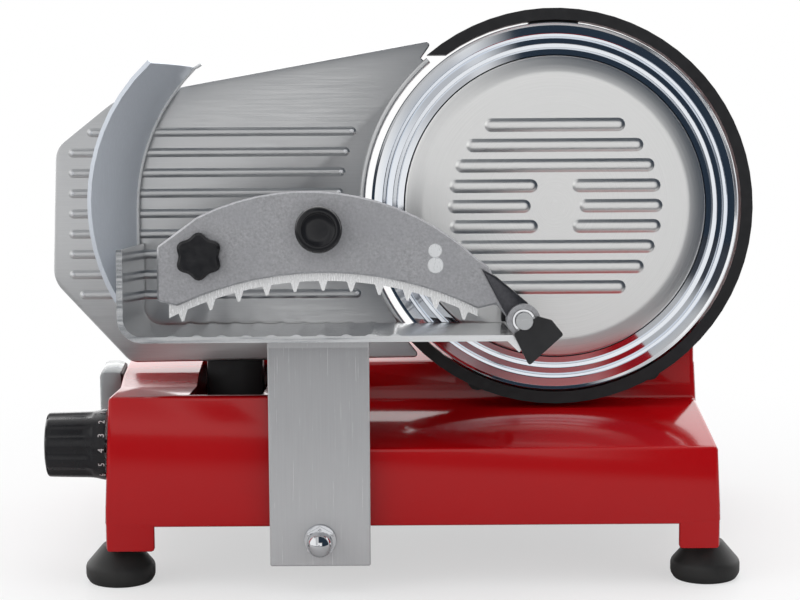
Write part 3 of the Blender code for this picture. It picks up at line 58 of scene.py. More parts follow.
class Shader:
    """A node material under construction, with short calls for the nodes that the finishes here share."""

    def __init__(self, name):
        self.material = bpy.data.materials.new(name)
        self.material.use_nodes = True
        self.nodes = self.material.node_tree.nodes
        self.links = self.material.node_tree.links
        self.surface = self.nodes["Principled BSDF"]

    def node(self, kind, inputs=None, **settings):
        made = self.nodes.new(kind)
        for key, value in settings.items():
            setattr(made, key, value)
        for key, value in (inputs or {}).items():
            self.feed(made.inputs[key], value)
        return made

    def feed(self, socket, value):
        if isinstance(value, bpy.types.NodeSocket):
            self.links.new(value, socket)
        else:
            socket.default_value = value

    def set(self, **values):
        for key, value in values.items():
            name = key.replace("_", " ")
            if isinstance(value, tuple) and len(value) == 3:
                value = (*value, 1.0)
            self.feed(self.surface.inputs[name], value)

    def math(self, operation, first, second=0.0):
        return self.node("ShaderNodeMath", {0: first, 1: second}, operation=operation).outputs[0]

    def times(self, *factors):
        product = factors[0]
        for factor in factors[1:]:
            product = self.math("MULTIPLY", product, factor)
        return product

    def vector(self, operation, first, second=(0.0, 0.0, 0.0)):
        made = self.node("ShaderNodeVectorMath", {0: first, 1: second}, operation=operation)
        return made.outputs["Value" if operation in ("LENGTH", "DOT_PRODUCT") else "Vector"]

    def place(self):
        return self.node("ShaderNodeTexCoord").outputs["Object"]

    def in_plate_frame(self):
        """The shaded point in the plate frame, as a vector socket."""
        mapping = self.node("ShaderNodeMapping", {"Vector": self.place()}, vector_type="TEXTURE")
        mapping.inputs["Location"].default_value = BLADE_CENTRE
        mapping.inputs["Rotation"].default_value = (-TILT, 0.0, 0.0)
        return mapping.outputs[0]

    def scaled(self, vector, scale):
        return self.node("ShaderNodeMapping", {"Vector": vector, "Scale": scale}).outputs[0]

    def noise(self, vector, scale, detail=3.0, roughness=0.5):
        inputs = {"Vector": vector, "Scale": scale, "Detail": detail, "Roughness": roughness}
        return self.node("ShaderNodeTexNoise", inputs).outputs["Fac"]

    def ramp(self, value, stops):
        """A colour ramp. Each stop is (place, grey) or (place, (r, g, b))."""
        made = self.node("ShaderNodeValToRGB", {"Fac": value})
        ramp = made.color_ramp
        while len(ramp.elements) > 1:
            ramp.elements.remove(ramp.elements[0])
        for index, (place, colour) in enumerate(stops):
            element = ramp.elements[0] if index == 0 else ramp.elements.new(place)
            element.position = place
            if not isinstance(colour, tuple):
                colour = (colour, colour, colour)
            element.color = (*colour, 1.0)
        return made.outputs["Color"]

    def span(self, value, low, high, to_low=0.0, to_high=1.0):
        """The value's place between low and high, held within them, as a number from to_low to to_high."""
        inputs = {"Value": value, "From Min": low, "From Max": high, "To Min": to_low, "To Max": to_high}
        return self.node("ShaderNodeMapRange", inputs).outputs["Result"]

    def mix(self, share, first, second):
        made = self.node("ShaderNodeMix", data_type="RGBA")
        self.feed(made.inputs["Factor"], share)
        for socket, value in ((made.inputs["A"], first), (made.inputs["B"], second)):
            if isinstance(value, tuple) and len(value) == 3:
                value = (*value, 1.0)
            self.feed(socket, value)
        return made.outputs["Result"]

    def bump(self, height, distance, strength):
        inputs = {"Height": height, "Distance": distance, "Strength": strength}
        return self.node("ShaderNodeBump", inputs).outputs["Normal"]


def red_enamel():
    """Thick glossy enamel with a faint ripple, and a thin coat over it."""
    shader = Shader("red_enamel")
    place = shader.place()
    cloud = shader.noise(place, 9.0, 2.0)
    colour = shader.mix(cloud, (0.37, 0.002, 0.004), (0.41, 0.003, 0.005))
    speck = shader.noise(place, 900.0, 1.0)
    skin = shader.bump(shader.noise(place, 240.0, 2.0), 0.00004, 0.35)
    shader.set(Base_Color=colour, Roughness=shader.span(speck, 0.2, 0.8, 0.09, 0.16), Normal=skin)
    shader.set(Coat_Weight=0.12, Coat_Roughness=0.03, Specular_IOR_Level=0.36)
    return shader.material


def black_plastic(name="black_plastic", grain=0.00006, rough=0.36, colour=(0.012, 0.012, 0.013)):
    shader = Shader(name)
    place = shader.place()
    lighter = tuple(2.0 * part for part in colour)
    tint = shader.mix(shader.noise(place, 60.0, 3.0), colour, lighter)
    skin = shader.bump(shader.noise(place, 1500.0, 2.0), grain, 0.6)
    shader.set(Base_Color=tint, Normal=skin)
    shader.set(Roughness=shader.span(shader.noise(place, 220.0), 0.3, 0.7, rough - 0.05, rough + 0.08))
    shader.set(Specular_IOR_Level=0.30)
    return shader.material


def rubber():
    shader = Shader("black_rubber")
    place = shader.place()
    tint = shader.mix(shader.noise(place, 120.0, 4.0), (0.010, 0.010, 0.010), (0.022, 0.021, 0.020))
    skin = shader.bump(shader.noise(place, 900.0, 3.0), 0.0001, 0.6)
    shader.set(Base_Color=tint, Roughness=0.55, Normal=skin)
    return shader.material


def polar(shader):
    """Radius and angle about the blade's axis."""
    flat = shader.vector("MULTIPLY", shader.in_plate_frame(), (1.0, 0.0, 1.0))
    radius = shader.vector("LENGTH", flat)
    parts = shader.node("ShaderNodeSeparateXYZ", {0: flat})
    angle = shader.math("ARCTAN2", parts.outputs["Z"], parts.outputs["X"])
    return radius, angle


def round_grinding(shader, scale):
    """Fine rings about the blade's axis, as a height from 0 to 1, and the radius."""
    radius, angle = polar(shader)
    joined = shader.node("ShaderNodeCombineXYZ", {0: shader.math("MULTIPLY", radius, scale), 1: angle})
    return shader.noise(joined.outputs[0], 1.0, 2.0, 0.6), radius


def blade_steel():
    """Polished blade steel with fine grinding rings, and a bluish tint in its hollow-ground bevel."""
    shader = Shader("blade_steel")
    rings, radius = round_grinding(shader, 4200.0)
    share = shader.span(radius, 0.088, BLADE_RADIUS)
    stops = [(0.0, (0.80, 0.82, 0.85)), (0.68, (0.76, 0.80, 0.86)), (1.0, (0.92, 0.93, 0.94))]
    tint = shader.ramp(share, stops)
    shader.set(Base_Color=tint, Metallic=1.0, Roughness=shader.span(rings, 0.25, 0.75, 0.05, 0.11))
    shader.set(Normal=shader.bump(rings, 0.00001, 0.3))
    return shader.material


def cover_steel():
    """Stainless sheet brushed round its centre."""
    shader = Shader("cover_steel")
    rings = round_grinding(shader, 3600.0)[0]
    tint = shader.ramp(rings, [(0.25, (0.84, 0.84, 0.83)), (0.75, (0.95, 0.95, 0.94))])
    shader.set(Base_Color=tint, Metallic=1.0, Roughness=shader.span(rings, 0.25, 0.75, 0.29, 0.38))
    shader.set(Normal=shader.bump(rings, 0.000012, 0.5))
    return shader.material


def brushed(name, colour, rough, direction, scale=900.0, depth=0.00004, metallic=1.0):
    """Metal brushed one way, or bare satin metal where metallic is low.

    direction holds the scale along each axis: small along the brushing.
    """
    shader = Shader(name)
    place = shader.scaled(shader.place(), tuple(scale * part for part in direction))
    grain = shader.noise(place, 1.0, 3.0, 0.6)
    cloud = shader.noise(shader.place(), 14.0, 3.0)
    darker = tuple(0.82 * part for part in colour)
    tint = shader.mix(grain, darker, colour)
    tint = shader.mix(shader.span(cloud, 0.3, 0.7, 0.0, 0.18), tint, darker)
    roughness = shader.span(grain, 0.3, 0.7, rough - 0.05, rough + 0.08)
    shader.set(Base_Color=tint, Metallic=metallic, Roughness=roughness)
    shader.set(Normal=shader.bump(grain, depth, 0.5))
    return shader.material


def cast_metal(name, colour, rough=0.48, grain=0.00012):
    shader = Shader(name)
    place = shader.place()
    fine = shader.noise(place, 700.0, 4.0, 0.65)
    cloud = shader.noise(place, 45.0, 4.0, 0.6)
    darker = tuple(0.62 * part for part in colour)
    tint = shader.mix(shader.span(fine, 0.3, 0.75), darker, colour)
    tint = shader.mix(shader.span(cloud, 0.35, 0.75, 0.0, 0.5), tint, tuple(1.25 * part for part in colour))
    roughness = shader.span(cloud, 0.3, 0.7, rough - 0.1, rough + 0.1)
    shader.set(Base_Color=tint, Metallic=0.85, Roughness=roughness)
    shader.set(Normal=shader.bump(fine, grain, 0.7))
    return shader.material


def polished(name, colour, rough=0.10):
    shader = Shader(name)
    cloud = shader.noise(shader.place(), 120.0, 3.0)
    tint = shader.mix(cloud, tuple(0.92 * part for part in colour), colour)
    roughness = shader.span(cloud, 0.3, 0.7, rough * 0.7, rough * 1.4)
    shader.set(Base_Color=tint, Metallic=1.0, Roughness=roughness)
    return shader.material


def smoked_hood():
    """Grey plastic that lets some light through."""
    shader = Shader("smoked_hood")
    cloud = shader.noise(shader.place(), 50.0, 2.0)
    tint = shader.mix(cloud, (0.42, 0.45, 0.46), (0.52, 0.55, 0.56))
    shader.set(Base_Color=tint, Roughness=0.16, Transmission_Weight=0.55, IOR=1.46)
    return shader.material


# The thickness plate and its ribs, about the blade's centre. The plate's concave edge is an arc, the ribs end
# on a wider one, and the edge's two ends stand clear of the ring guard
RIB_ROWS, RIB_PITCH = 9, 0.01215
GAUGE_TOP_RIB = 0.0456
GAUGE_THICKNESS = 0.0045
GAUGE_ARC, GAUGE_RIB_END, GUARD_CLEAR = 0.114, 0.1274, 0.1195
GAUGE_TOP, GAUGE_LOW = math.radians(131.8), math.radians(220.5)
GAUGE_CORNERS = [(-0.0722, 0.0997), (-0.2622, 0.0659), (-0.2988, 0.0366), (-0.3009, -0.0430),
                 (-0.2550, -0.0923), (-0.0809, -0.0902)]
GAUGE_CORNER_RADII = [0.002, 0.032, 0.013, 0.018, 0.010, 0.002]
# The rolled lip's section, as distance out from the concave edge and distance forward
LIP = [(0.0004, -0.0012), (-0.0003, -0.0004), (-0.0002, 0.0006), (0.0006, 0.0012), (0.0016, 0.0013),
       (0.0027, 0.0008), (0.0034, 0.0), (0.0034, -0.0006)]

# The cover, as radius and distance in front of the cutting plane. Its ribs end on a circle, and the three middle
# rows leave a gap of this half width
COVER_PROFILE = [(0.0, 0.0022), (0.030, 0.0022), (0.060, 0.0022), (0.0785, 0.0022), (0.0798, 0.00216),
                 (0.0810, 0.0020), (0.0890, 0.0005), (0.0897, 0.0002), (0.0900, -0.0003), (0.0895, -0.0010),
                 (0.0800, 0.0002), (0.0095, 0.0002), (0.0095, -0.0032), (0.0043, -0.0032), (0.0043, 0.0008),
                 (0.0, 0.0008)]
COVER_FACE, COVER_RIB_END = 0.0022, 0.0642
COVER_GAPS = {3: 0.0105, 4: 0.0147, 5: 0.0105}

# The dial, as distance from the wall and radius
DIAL_PROFILE = [(0.0003, 0.0205), (0.0020, 0.0205), (0.0040, 0.0201), (0.0055, 0.0197), (0.0070, 0.0194),
                (0.0080, 0.0193), (0.0085, 0.0192), (0.0090, 0.0192), (0.0100, 0.0191), (0.0110, 0.0191),
                (0.0120, 0.0190), (0.0140, 0.0190), (0.0240, 0.0188), (0.0318, 0.0186), (0.0334, 0.0185),
                (0.0342, 0.0182), (0.0347, 0.0176), (0.0351, 0.0165), (0.0358, 0.0130), (0.0363, 0.0080),
                (0.0366, 0.0030)]
DIAL_FLUTES, DIAL_STEPS, DIAL_FIRST = 9, 180, math.radians(-4.0)
DIAL_SCOOP, DIAL_SCOOP_END = 0.0080, 0.0345
# The numbers sit on the skirt: how far out, how far from the wall, where the first is, and the step between
DIGIT_RADIUS, DIGIT_AWAY, DIGIT_FIRST, DIGIT_STEP = 0.02047, 0.0023, 76.0, 24.4

# A foot, as radius and height
FOOT_PROFILE = [(0.0090, 0.0217), (0.0100, 0.0217), (0.0104, 0.0213), (0.0188, 0.0114), (0.0196, 0.0102),
                (0.0200, 0.0088), (0.0200, 0.0045), (0.0197, 0.0030), (0.0184, 0.0008), (0.0178, 0.0002),
                (0.0172, 0.0)]

# The casting's low edge: what lies below this height goes down, and the right leg's inner side goes right
BASE_EDGE_TOP, BASE_EDGE_DROP = 0.0418, 0.0025
LEG_INNER_SIDE, LEG_SHIFT = (0.150, 0.158), 0.0045

# The blade's section, as radius and distance in front of the cutting plane
BLADE_PROFILE = [(0.016, -0.0045), (0.0885, -0.0045), (0.0904, -0.0020), (0.0907, -0.0009),
                 (0.0945, -0.0023), (0.0949, -0.0012), (0.0951, -0.0011), (0.0971, -0.0011),
                 (0.0974, -0.0009), (0.1010, -0.00222), (0.1014, -0.0010), (0.1016, -0.0009),
                 (0.1031, -0.0009), (0.1035, -0.0003), (0.1092, -0.00225), (0.1096, -0.0003),
                 (0.1100, -0.0002), (0.1100, -0.0006), (0.1060, -0.0036), (0.0980, -0.0060),
                 (0.0880, -0.0075), (0.016, -0.0075), (0.016, -0.0045)]

# The round knob, as radius and distance in front of its seat
KNOB_PROFILE = [(0.0, 0.0286), (0.0050, 0.0287), (0.0086, 0.0289), (0.0091, 0.0293), (0.0095, 0.0299),
                (0.0104, 0.0300), (0.0118, 0.0294), (0.0127, 0.0280), (0.0130, 0.0258), (0.0128, 0.0220),
                (0.0112, 0.0160), (0.0088, 0.0100), (0.0080, 0.0060), (0.0080, 0.0), (0.0, 0.0)]

# The meat grip: its front face, the two round cast marks, and the arc and ends of its toothed strip
PUSHER_FACE = -0.131
MARKS = [(-0.0735, -0.0231, 0.0039), (-0.0733, -0.0312, 0.0045)]
STRIP_CENTRE, STRIP_RADIUS = (-0.136, -0.227), 0.192
STRIP_LEFT, STRIP_RIGHT, STRIP_TEETH = -0.2220, -0.0500, 11
STRIP_BEHIND, STRIP_THICKNESS, STRIP_ABOVE, STRIP_BELOW, TOOTH_DEPTH = 0.0063, 0.0015, 0.004, 0.0046, 0.0054

# The outlines of the rod's rear block and of the grip's neck
REAR_BLOCK = [(-0.0330, -0.0685), (-0.0330, -0.0590), (-0.0295, -0.0548), (-0.0205, -0.0548),
              (-0.0180, -0.0590), (-0.0180, -0.0700), (-0.0205, -0.0745), (-0.0240, -0.0762),
              (-0.0305, -0.0685)]
NECK = [(-0.0480, -0.0330), (-0.0400, -0.0372), (-0.0225, -0.0520), (-0.0180, -0.0610), (-0.0320, -0.0640),
        (-0.0362, -0.0560)]

# The hand guard's far edge, which the bright hem follows: an upright arc
GUARD_FAR_X, GUARD_FAR_RADIUS, HEM_RADIUS = -0.2498, 0.1178, 0.0011

FINISHES = {
    "red": red_enamel(),
    "black": black_plastic(),
    "gloss_black": black_plastic("gloss_black_plastic", 0.00002, 0.16, (0.008, 0.008, 0.009)),
    "guard": black_plastic("guard_plastic", 0.00001, 0.38, (0.007, 0.007, 0.008)),
    "rubber": rubber(),
    "blade": blade_steel(),
    "cover": cover_steel(),
    "plate": brushed("plate_aluminium", (0.74, 0.745, 0.75), 0.36, (0.02, 1.0, 1.0), 1600.0, 0.00002),
    "tray": brushed("tray_aluminium", (0.80, 0.81, 0.82), 0.16, (0.05, 1.0, 1.0), 600.0),
    "guard_sheet": brushed("guard_aluminium", (0.66, 0.70, 0.76), 0.34, (1.0, 1.0, 0.05), 1500.0,
                           0.00001, 0.35),
    "post": brushed("post_aluminium", (0.56, 0.56, 0.57), 0.20, (1.0, 1.0, 0.015), 1700.0, 0.000006, 0.3),
    "steel": brushed("mill_steel", (0.60, 0.61, 0.62), 0.28, (0.05, 1.0, 1.0)),
    "cast": cast_metal("cast_aluminium", (0.52, 0.52, 0.54), 0.40),
    "neck": cast_metal("neck_cast", (0.10, 0.10, 0.11), 0.34),
    "strip": brushed("strip_steel", (0.96, 0.96, 0.96), 0.24, (1.0, 1.0, 0.1), 1200.0, 0.00001, 0.3),
    "bright": brushed("bright_aluminium", (0.74, 0.75, 0.76), 0.30, (1.0, 1.0, 0.1), 1200.0, 0.00001, 0.3),
    "dark_cast": cast_metal("dark_cast_aluminium", (0.22, 0.22, 0.23)),
    "chrome": polished("chrome", (0.80, 0.81, 0.83), 0.08),
    "bronze": cast_metal("bronze", (0.45, 0.27, 0.11), 0.40),
    "hood": smoked_hood(),
    "dial": black_plastic("dial_plastic", 0.00002, 0.22, (0.008, 0.008, 0.009)),
    "print": black_plastic("white_print", 0.00001, 0.45, (0.40, 0.40, 0.40)),
    "motor": black_plastic("motor_paint", 0.00008, 0.45, (0.07, 0.075, 0.08)),
    "button": black_plastic("grey_button", 0.00003, 0.30, (0.30, 0.31, 0.32)),
}
NODE_FINISH = {
    "red": ["base_casting"],
    "black": ["rear_cover", "cord_gland", "tie_rod_knob", "gauge_support", "switch_body", "pusher_knob"],
    "gloss_black": ["star_knob", "front_rod_block", "rear_rod_block", "thickness_dial", "stop_button"],
    "guard": ["ring_guard"],
    "rubber": ["front_left_foot", "front_right_foot", "rear_left_foot", "rear_right_foot", "drive_belt"],
    "blade": ["blade"],
    "cover": ["blade_cover"],
    "plate": ["gauge_plate"],
    "tray": ["food_tray"],
    "guard_sheet": ["hand_guard"],
    "post": ["carriage_post"],
    "steel": ["bottom_cover", "blade_spindle", "slice_deflector", "dial_shaft", "cam_disc", "motor_pulley",
              "post_stud", "tooth_strip", "pusher_rod"],
    "cast": ["pusher_plate", "blade_hub_pulley", "drive_plate"],
    "dark_cast": ["carriage_block"],
    "chrome": ["pusher_bush", "front_bearing", "rear_bearing", "gauge_guide_bar", "carriage_rod",
               "carriage_guide_bar", "cap_nut", "post_washer"],
    "bronze": ["left_bush", "right_bush"],
    "hood": ["switch_hood"],
    "motor": ["motor_body"],
    "button": ["start_button"],
}

# What polished metal reflects: the white backdrop, the pale room, its dark side and its half-lit side
BACKDROP = (2.2, 2.2, 2.2)
ROOM_LIGHT, ROOM_DARK, ROOM_SHADE = (1.0, 1.0, 1.0), (0.022, 0.034, 0.052), (0.22, 0.23, 0.25)
# Each lamp: name, place, width, height and power
LAMPS = [("left_window", (-1.6, -0.9, 1.3), 1.6, 1.6, 12.0), ("top_window", (0.2, 0.1, 1.9), 1.8, 1.2, 11.0),
         ("right_fill", (1.7, -1.0, 0.9), 1.2, 1.2, 5.0), ("front_fill", (0.0, -2.6, 1.1), 1.4, 0.8, 5.0)]


def smoothing_group(angle):
    """A geometry group that joins split points and shades smooth, except over edges sharper than angle."""
    group = bpy.data.node_groups.new("shade_by_angle", "GeometryNodeTree")
    group.interface.new_socket("Geometry", in_out="INPUT", socket_type="NodeSocketGeometry")
    group.interface.new_socket("Geometry", in_out="OUTPUT", socket_type="NodeSocketGeometry")
    start = group.nodes.new("NodeGroupInput")
    end = group.nodes.new("NodeGroupOutput")
    weld = group.nodes.new("GeometryNodeMergeByDistance")
    weld.inputs["Distance"].default_value = 0.000002
    faces = group.nodes.new("GeometryNodeSetShadeSmooth")
    faces.domain = "FACE"
    edges = group.nodes.new("GeometryNodeSetShadeSmooth")
    edges.domain = "EDGE"
    bend = group.nodes.new("GeometryNodeInputMeshEdgeAngle")
    gentle = group.nodes.new("FunctionNodeCompare")
    gentle.operation = "LESS_THAN"
    gentle.inputs["B"].default_value = angle
    group.links.new(bend.outputs["Unsigned Angle"], gentle.inputs["A"])
    group.links.new(gentle.outputs[0], edges.inputs["Shade Smooth"])
    steps = (start.outputs[0], weld, faces, edges)
    previous = steps[0]
    for step in steps[1:]:
        group.links.new(previous, step.inputs["Geometry"])
        previous = step.outputs["Geometry"]
    group.links.new(previous, end.inputs[0])
    return group


SMOOTH = smoothing_group(math.radians(32.0))


def dress_nodes():
    """Gives each solid its finish and smooth shading."""
    for finish, names in NODE_FINISH.items():
        for name in names:
            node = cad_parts[name]
            node.data.materials.clear()
            node.data.materials.append(FINISHES[finish])
            smooth = node.modifiers.new("shade_by_angle", "NODES")
            smooth.node_group = SMOOTH


def make_piece(name, work, finish, body, matrix=None, bevel=0.0, angle=35.0):
    """A finished bmesh as a piece of the scene, riding on a body."""
    bmesh.ops.recalc_face_normals(work, faces=work.faces)
    mesh = bpy.data.meshes.new(name)
    if matrix is not None:
        work.transform(matrix)
    work.to_mesh(mesh)
    work.free()
    mesh.shade_smooth()
    mesh.set_sharp_from_angle(angle=math.radians(angle))
    piece = bpy.data.objects.new(name, mesh)
    bpy.context.scene.collection.objects.link(piece)
    if bevel:
        soft = piece.modifiers.new("soft edges", "BEVEL")
        soft.width = bevel
        soft.segments = 3
        soft.limit_method = "ANGLE"
        soft.angle_limit = math.radians(40.0)
        soft.harden_normals = True
    mesh.materials.append(FINISHES[finish])
    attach(piece, body)
    return piece


def ring_faces(work, rings):
    """Joins rings of points by quads and closes both ends. Each ring is a list of points of one length."""
    rows = [[work.verts.new(point) for point in ring] for ring in rings]
    for near, far in zip(rows, rows[1:]):
        for index, corner in enumerate(near):
            after = (index + 1) % len(near)
            work.faces.new((corner, near[after], far[after], far[index]))
    work.faces.new(rows[0])
    work.faces.new(rows[-1][::-1])


def revolve(work, profile, steps=128):
    """Turns (radius, forward) points about the plate frame's -Y axis. A radius of 0 makes a single point."""
    rows = []
    for radius, forward in profile:
        if radius == 0.0:
            rows.append([work.verts.new((0.0, -forward, 0.0))])
            continue
        turns = [2 * math.pi * step / steps for step in range(steps)]
        rows.append([work.verts.new((radius * math.cos(t), -forward, radius * math.sin(t))) for t in turns])
    for near, far in zip(rows, rows[1:]):
        for index in range(steps):
            after = (index + 1) % steps
            corners = [near[index % len(near)], near[after % len(near)]]
            corners += [far[after % len(far)], far[index % len(far)]]
            work.faces.new(list(dict.fromkeys(corners)))


def pressed_rib(work, left, right, height, width, rise, seat, ends=8):
    """A rib pressed out of a sheet: a rounded ridge between x left and right, standing forward of seat."""
    radius = width / 2
    section = [(-0.12, -0.10), (0.0, 0.06), (0.12, 0.30), (0.28, 0.66)]
    section += [(0.48, 0.90), (0.72, 0.99), (0.93, 1.0)]
    rings = []
    for inset, lift in section:
        size = radius * (1 - inset)
        forward = seat + rise * lift
        ring = []
        for side, start in ((right - radius, -math.pi / 2), (left + radius, math.pi / 2)):
            for step in range(ends + 1):
                turn = start + math.pi * step / ends
                ring.append((side + size * math.cos(turn), -forward, height + size * math.sin(turn)))
        rings.append(ring)
    ring_faces(work, rings)


def ribbed_cover():
    """The dished stainless plate over the blade, with nine rows of pressed ribs."""
    work = bmesh.new()
    revolve(work, COVER_PROFILE)
    for row in range(RIB_ROWS):
        height = (4 - row) * RIB_PITCH
        reach = math.sqrt(COVER_RIB_END ** 2 - height ** 2)
        gap = COVER_GAPS.get(row, 0.0)
        spans = [(-reach, -gap), (gap, reach)] if gap else [(-reach, reach)]
        for left, right in spans:
            pressed_rib(work, left, right, height, 0.0078, 0.0010, COVER_FACE)
    cover = make_piece("ribbed_cover", work, "cover", "base", PLATE, angle=60.0)
    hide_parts("blade_cover")


def arc(radius, start, end, count):
    """Points along an arc about the origin, both ends included."""
    turns = [start + (end - start) * step / (count - 1) for step in range(count)]
    return [(radius * math.cos(turn), radius * math.sin(turn)) for turn in turns]


def rounded(points, radii, count=7):
    """The outline with each corner replaced by an arc of its own radius; a radius of 0 keeps the corner."""
    result = []
    for index, (point, radius) in enumerate(zip(points, radii)):
        here = Vector(point)
        if radius == 0.0:
            result.append(tuple(here))
            continue
        before = (Vector(points[index - 1]) - here).normalized()
        after = (Vector(points[(index + 1) % len(points)]) - here).normalized()
        half = before.angle(after) / 2
        centre = here + (before + after).normalized() * radius / math.sin(half)
        first = here + before * radius / math.tan(half) - centre
        turn = first.angle_signed(here + after * radius / math.tan(half) - centre)
        for step in range(count):
            spoke = Matrix.Rotation(-turn * step / (count - 1), 2) @ first
            result.append(tuple(centre + spoke))
    return result


def gauge_outline():
    """The thickness plate's edge: a concave arc round the blade, and slanted corners at the left."""
    top = (GUARD_CLEAR * math.cos(GAUGE_TOP), GUARD_CLEAR * math.sin(GAUGE_TOP))
    low = (GUARD_CLEAR * math.cos(GAUGE_LOW), GUARD_CLEAR * math.sin(GAUGE_LOW))
    around = rounded([top, *GAUGE_CORNERS, low], [0.0, *GAUGE_CORNER_RADII, 0.0])
    return around + arc(GAUGE_ARC, GAUGE_LOW, GAUGE_TOP, 64)


def gauge_left(height):
    """How far left the thickness plate reaches at a height."""
    upper, low_slant = GAUGE_CORNERS[1:3][::-1], GAUGE_CORNERS[3:5]
    for (x0, z0), (x1, z1) in (upper, low_slant):
        if (height - z0) * (z1 - z0) > 0:
            return x0 + (x1 - x0) * (height - z0) / (z1 - z0)
    return GAUGE_CORNERS[2][0]


def gauge_rib(row):
    """A rib's height, its left end before rounding and its right end."""
    height = GAUGE_TOP_RIB - row * RIB_PITCH
    return height, gauge_left(height), -math.sqrt(GAUGE_RIB_END ** 2 - height ** 2)


def ribbed_gauge():
    """The thickness plate with its pressed ribs and the rolled lip along its concave edge."""
    work = bmesh.new()
    outline = gauge_outline()
    layers = []
    for inset, forward in ((0.0, -GAUGE_THICKNESS), (0.0, -0.0008), (0.00025, -0.00025), (0.0008, 0.0)):
        layers.append([(x, -forward, z) for x, z in shrunk(outline, inset)])
    ring_faces(work, layers)
    for row in range(RIB_ROWS):
        height, left, right = gauge_rib(row)
        pressed_rib(work, left + 0.0075, right, height, 0.0052, 0.0011, 0.0)
    rings = []
    for x, z in arc(1.0, GAUGE_LOW + 0.02, GAUGE_TOP - 0.02, 80):
        rings.append([(x * (GAUGE_ARC + out), -forward, z * (GAUGE_ARC + out)) for out, forward in LIP])
    ring_faces(work, rings)
    gauge = make_piece("ribbed_gauge_plate", work, "plate", "gauge", PLATE, angle=50.0)
    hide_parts("gauge_plate")


def shrunk(outline, inset):
    """The outline moved inwards by a small distance at every point."""
    if inset == 0.0:
        return outline
    moved = []
    for index, point in enumerate(outline):
        along = Vector(outline[(index + 1) % len(outline)]) - Vector(outline[index - 1])
        outwards = Vector((along.y, -along.x)).normalized()
        moved.append(tuple(Vector(point) - outwards * inset))
    return moved


def fluted_dial():
    """The dial: a domed grip with nine scooped flutes, flaring into the skirt that carries the numbers."""
    work = bmesh.new()
    low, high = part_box("thickness_dial")
    wall, middle = high[0] + 0.0003, ((low[1] + high[1]) / 2, (low[2] + high[2]) / 2)
    rings = []
    between = 2 * math.pi / DIAL_FLUTES
    for away, radius in DIAL_PROFILE:
        ring = []
        scoop = min(max((away - DIAL_SCOOP) / 0.0040, 0.0), 1.0) ** 0.5 if away < DIAL_SCOOP_END else 0.0
        for step in range(DIAL_STEPS):
            turn = 2 * math.pi * step / DIAL_STEPS
            apart = (turn - DIAL_FIRST + between / 2) % between - between / 2
            hollow = max(0.0, 1.0 - (apart / 0.20) ** 2)
            reach = radius - 0.0013 * hollow * scoop
            ring.append((wall - away, middle[0] - reach * math.cos(turn), middle[1] + reach * math.sin(turn)))
        rings.append(ring)
    ring_faces(work, rings)
    dial = make_piece("fluted_dial", work, "dial", "dial", angle=50.0)
    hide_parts("thickness_dial")
    for number in range(1, 7):
        turn = math.radians(DIGIT_FIRST - DIGIT_STEP * (number - 1))
        out = Vector((0.0, -math.cos(turn), math.sin(turn)))
        spot = Vector((wall - DIGIT_AWAY, middle[0], middle[1])) + DIGIT_RADIUS * out
        up = Vector((-1.0, 0.0, 0.0))
        add_digit(str(number), spot, up.cross(out), up, out)


def add_digit(text, spot, across, up, out):
    """A white number as a flat raised letter, 0.1 mm thick, that faces out."""
    letters = bpy.data.curves.new("digit_" + text, "FONT")
    letters.body = text
    letters.size = 0.0050
    letters.extrude = 0.00005
    letters.align_x, letters.align_y = "CENTER", "CENTER"
    piece = bpy.data.objects.new("digit_" + text, letters)
    turned = Matrix((across, up, out)).transposed().to_4x4()
    piece.matrix_world = Matrix.Translation(spot) @ turned
    bpy.context.scene.collection.objects.link(piece)
    letters.materials.append(FINISHES["print"])
    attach(piece, "dial")


def rubber_feet():
    """The cone feet, with a rounded rim and a sole that turns in."""
    turns = [2 * math.pi * step / 64 for step in range(64)]
    for name in ("front_left_foot", "front_right_foot", "rear_left_foot", "rear_right_foot"):
        low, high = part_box(name)
        x, y = (low[0] + high[0]) / 2, (low[1] + high[1]) / 2
        work = bmesh.new()
        rings = []
        for radius, height in FOOT_PROFILE:
            rings.append([(x + radius * math.cos(t), y + radius * math.sin(t), height) for t in turns])
        ring_faces(work, rings)
        foot = make_piece("cone_" + name, work, "rubber", "base", angle=60.0)
        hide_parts(name)


def enamel_base():
    """The casting with its lower edge and legs at their full depth: the solid, reshaped low down."""
    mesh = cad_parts["base_casting"].data.copy()
    mesh.name = "enamel_base"
    for vertex in mesh.vertices:
        spot = vertex.co
        if spot.z < BASE_EDGE_TOP:
            if LEG_INNER_SIDE[0] < spot.x < LEG_INNER_SIDE[1]:
                spot.x += LEG_SHIFT
            spot.z -= BASE_EDGE_DROP
    base = bpy.data.objects.new("enamel_base", mesh)
    bpy.context.scene.collection.objects.link(base)
    mesh.materials.clear()
    mesh.materials.append(FINISHES["red"])
    smooth = base.modifiers.new("shade_by_angle", "NODES")
    smooth.node_group = SMOOTH
    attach(base, "base")
    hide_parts("base_casting")


def banded_blade():
    """The polished blade: two ridges between hollow bands, its bevel, and the disc behind the cover."""
    work = bmesh.new()
    revolve(work, BLADE_PROFILE, 224)
    blade = make_piece("banded_blade", work, "blade", "blade", PLATE, angle=24.0)
    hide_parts("blade")


def round_knob():
    """The pusher's round knob, with its stepped face."""
    work = bmesh.new()
    revolve(work, KNOB_PROFILE, 72)
    seat = PLATE @ Matrix.Translation((-0.1375, PUSHER_FACE - 0.0003, -0.0105))
    knob = make_piece("round_knob", work, "gloss_black", "pusher", seat, angle=40.0)
    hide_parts("pusher_knob")


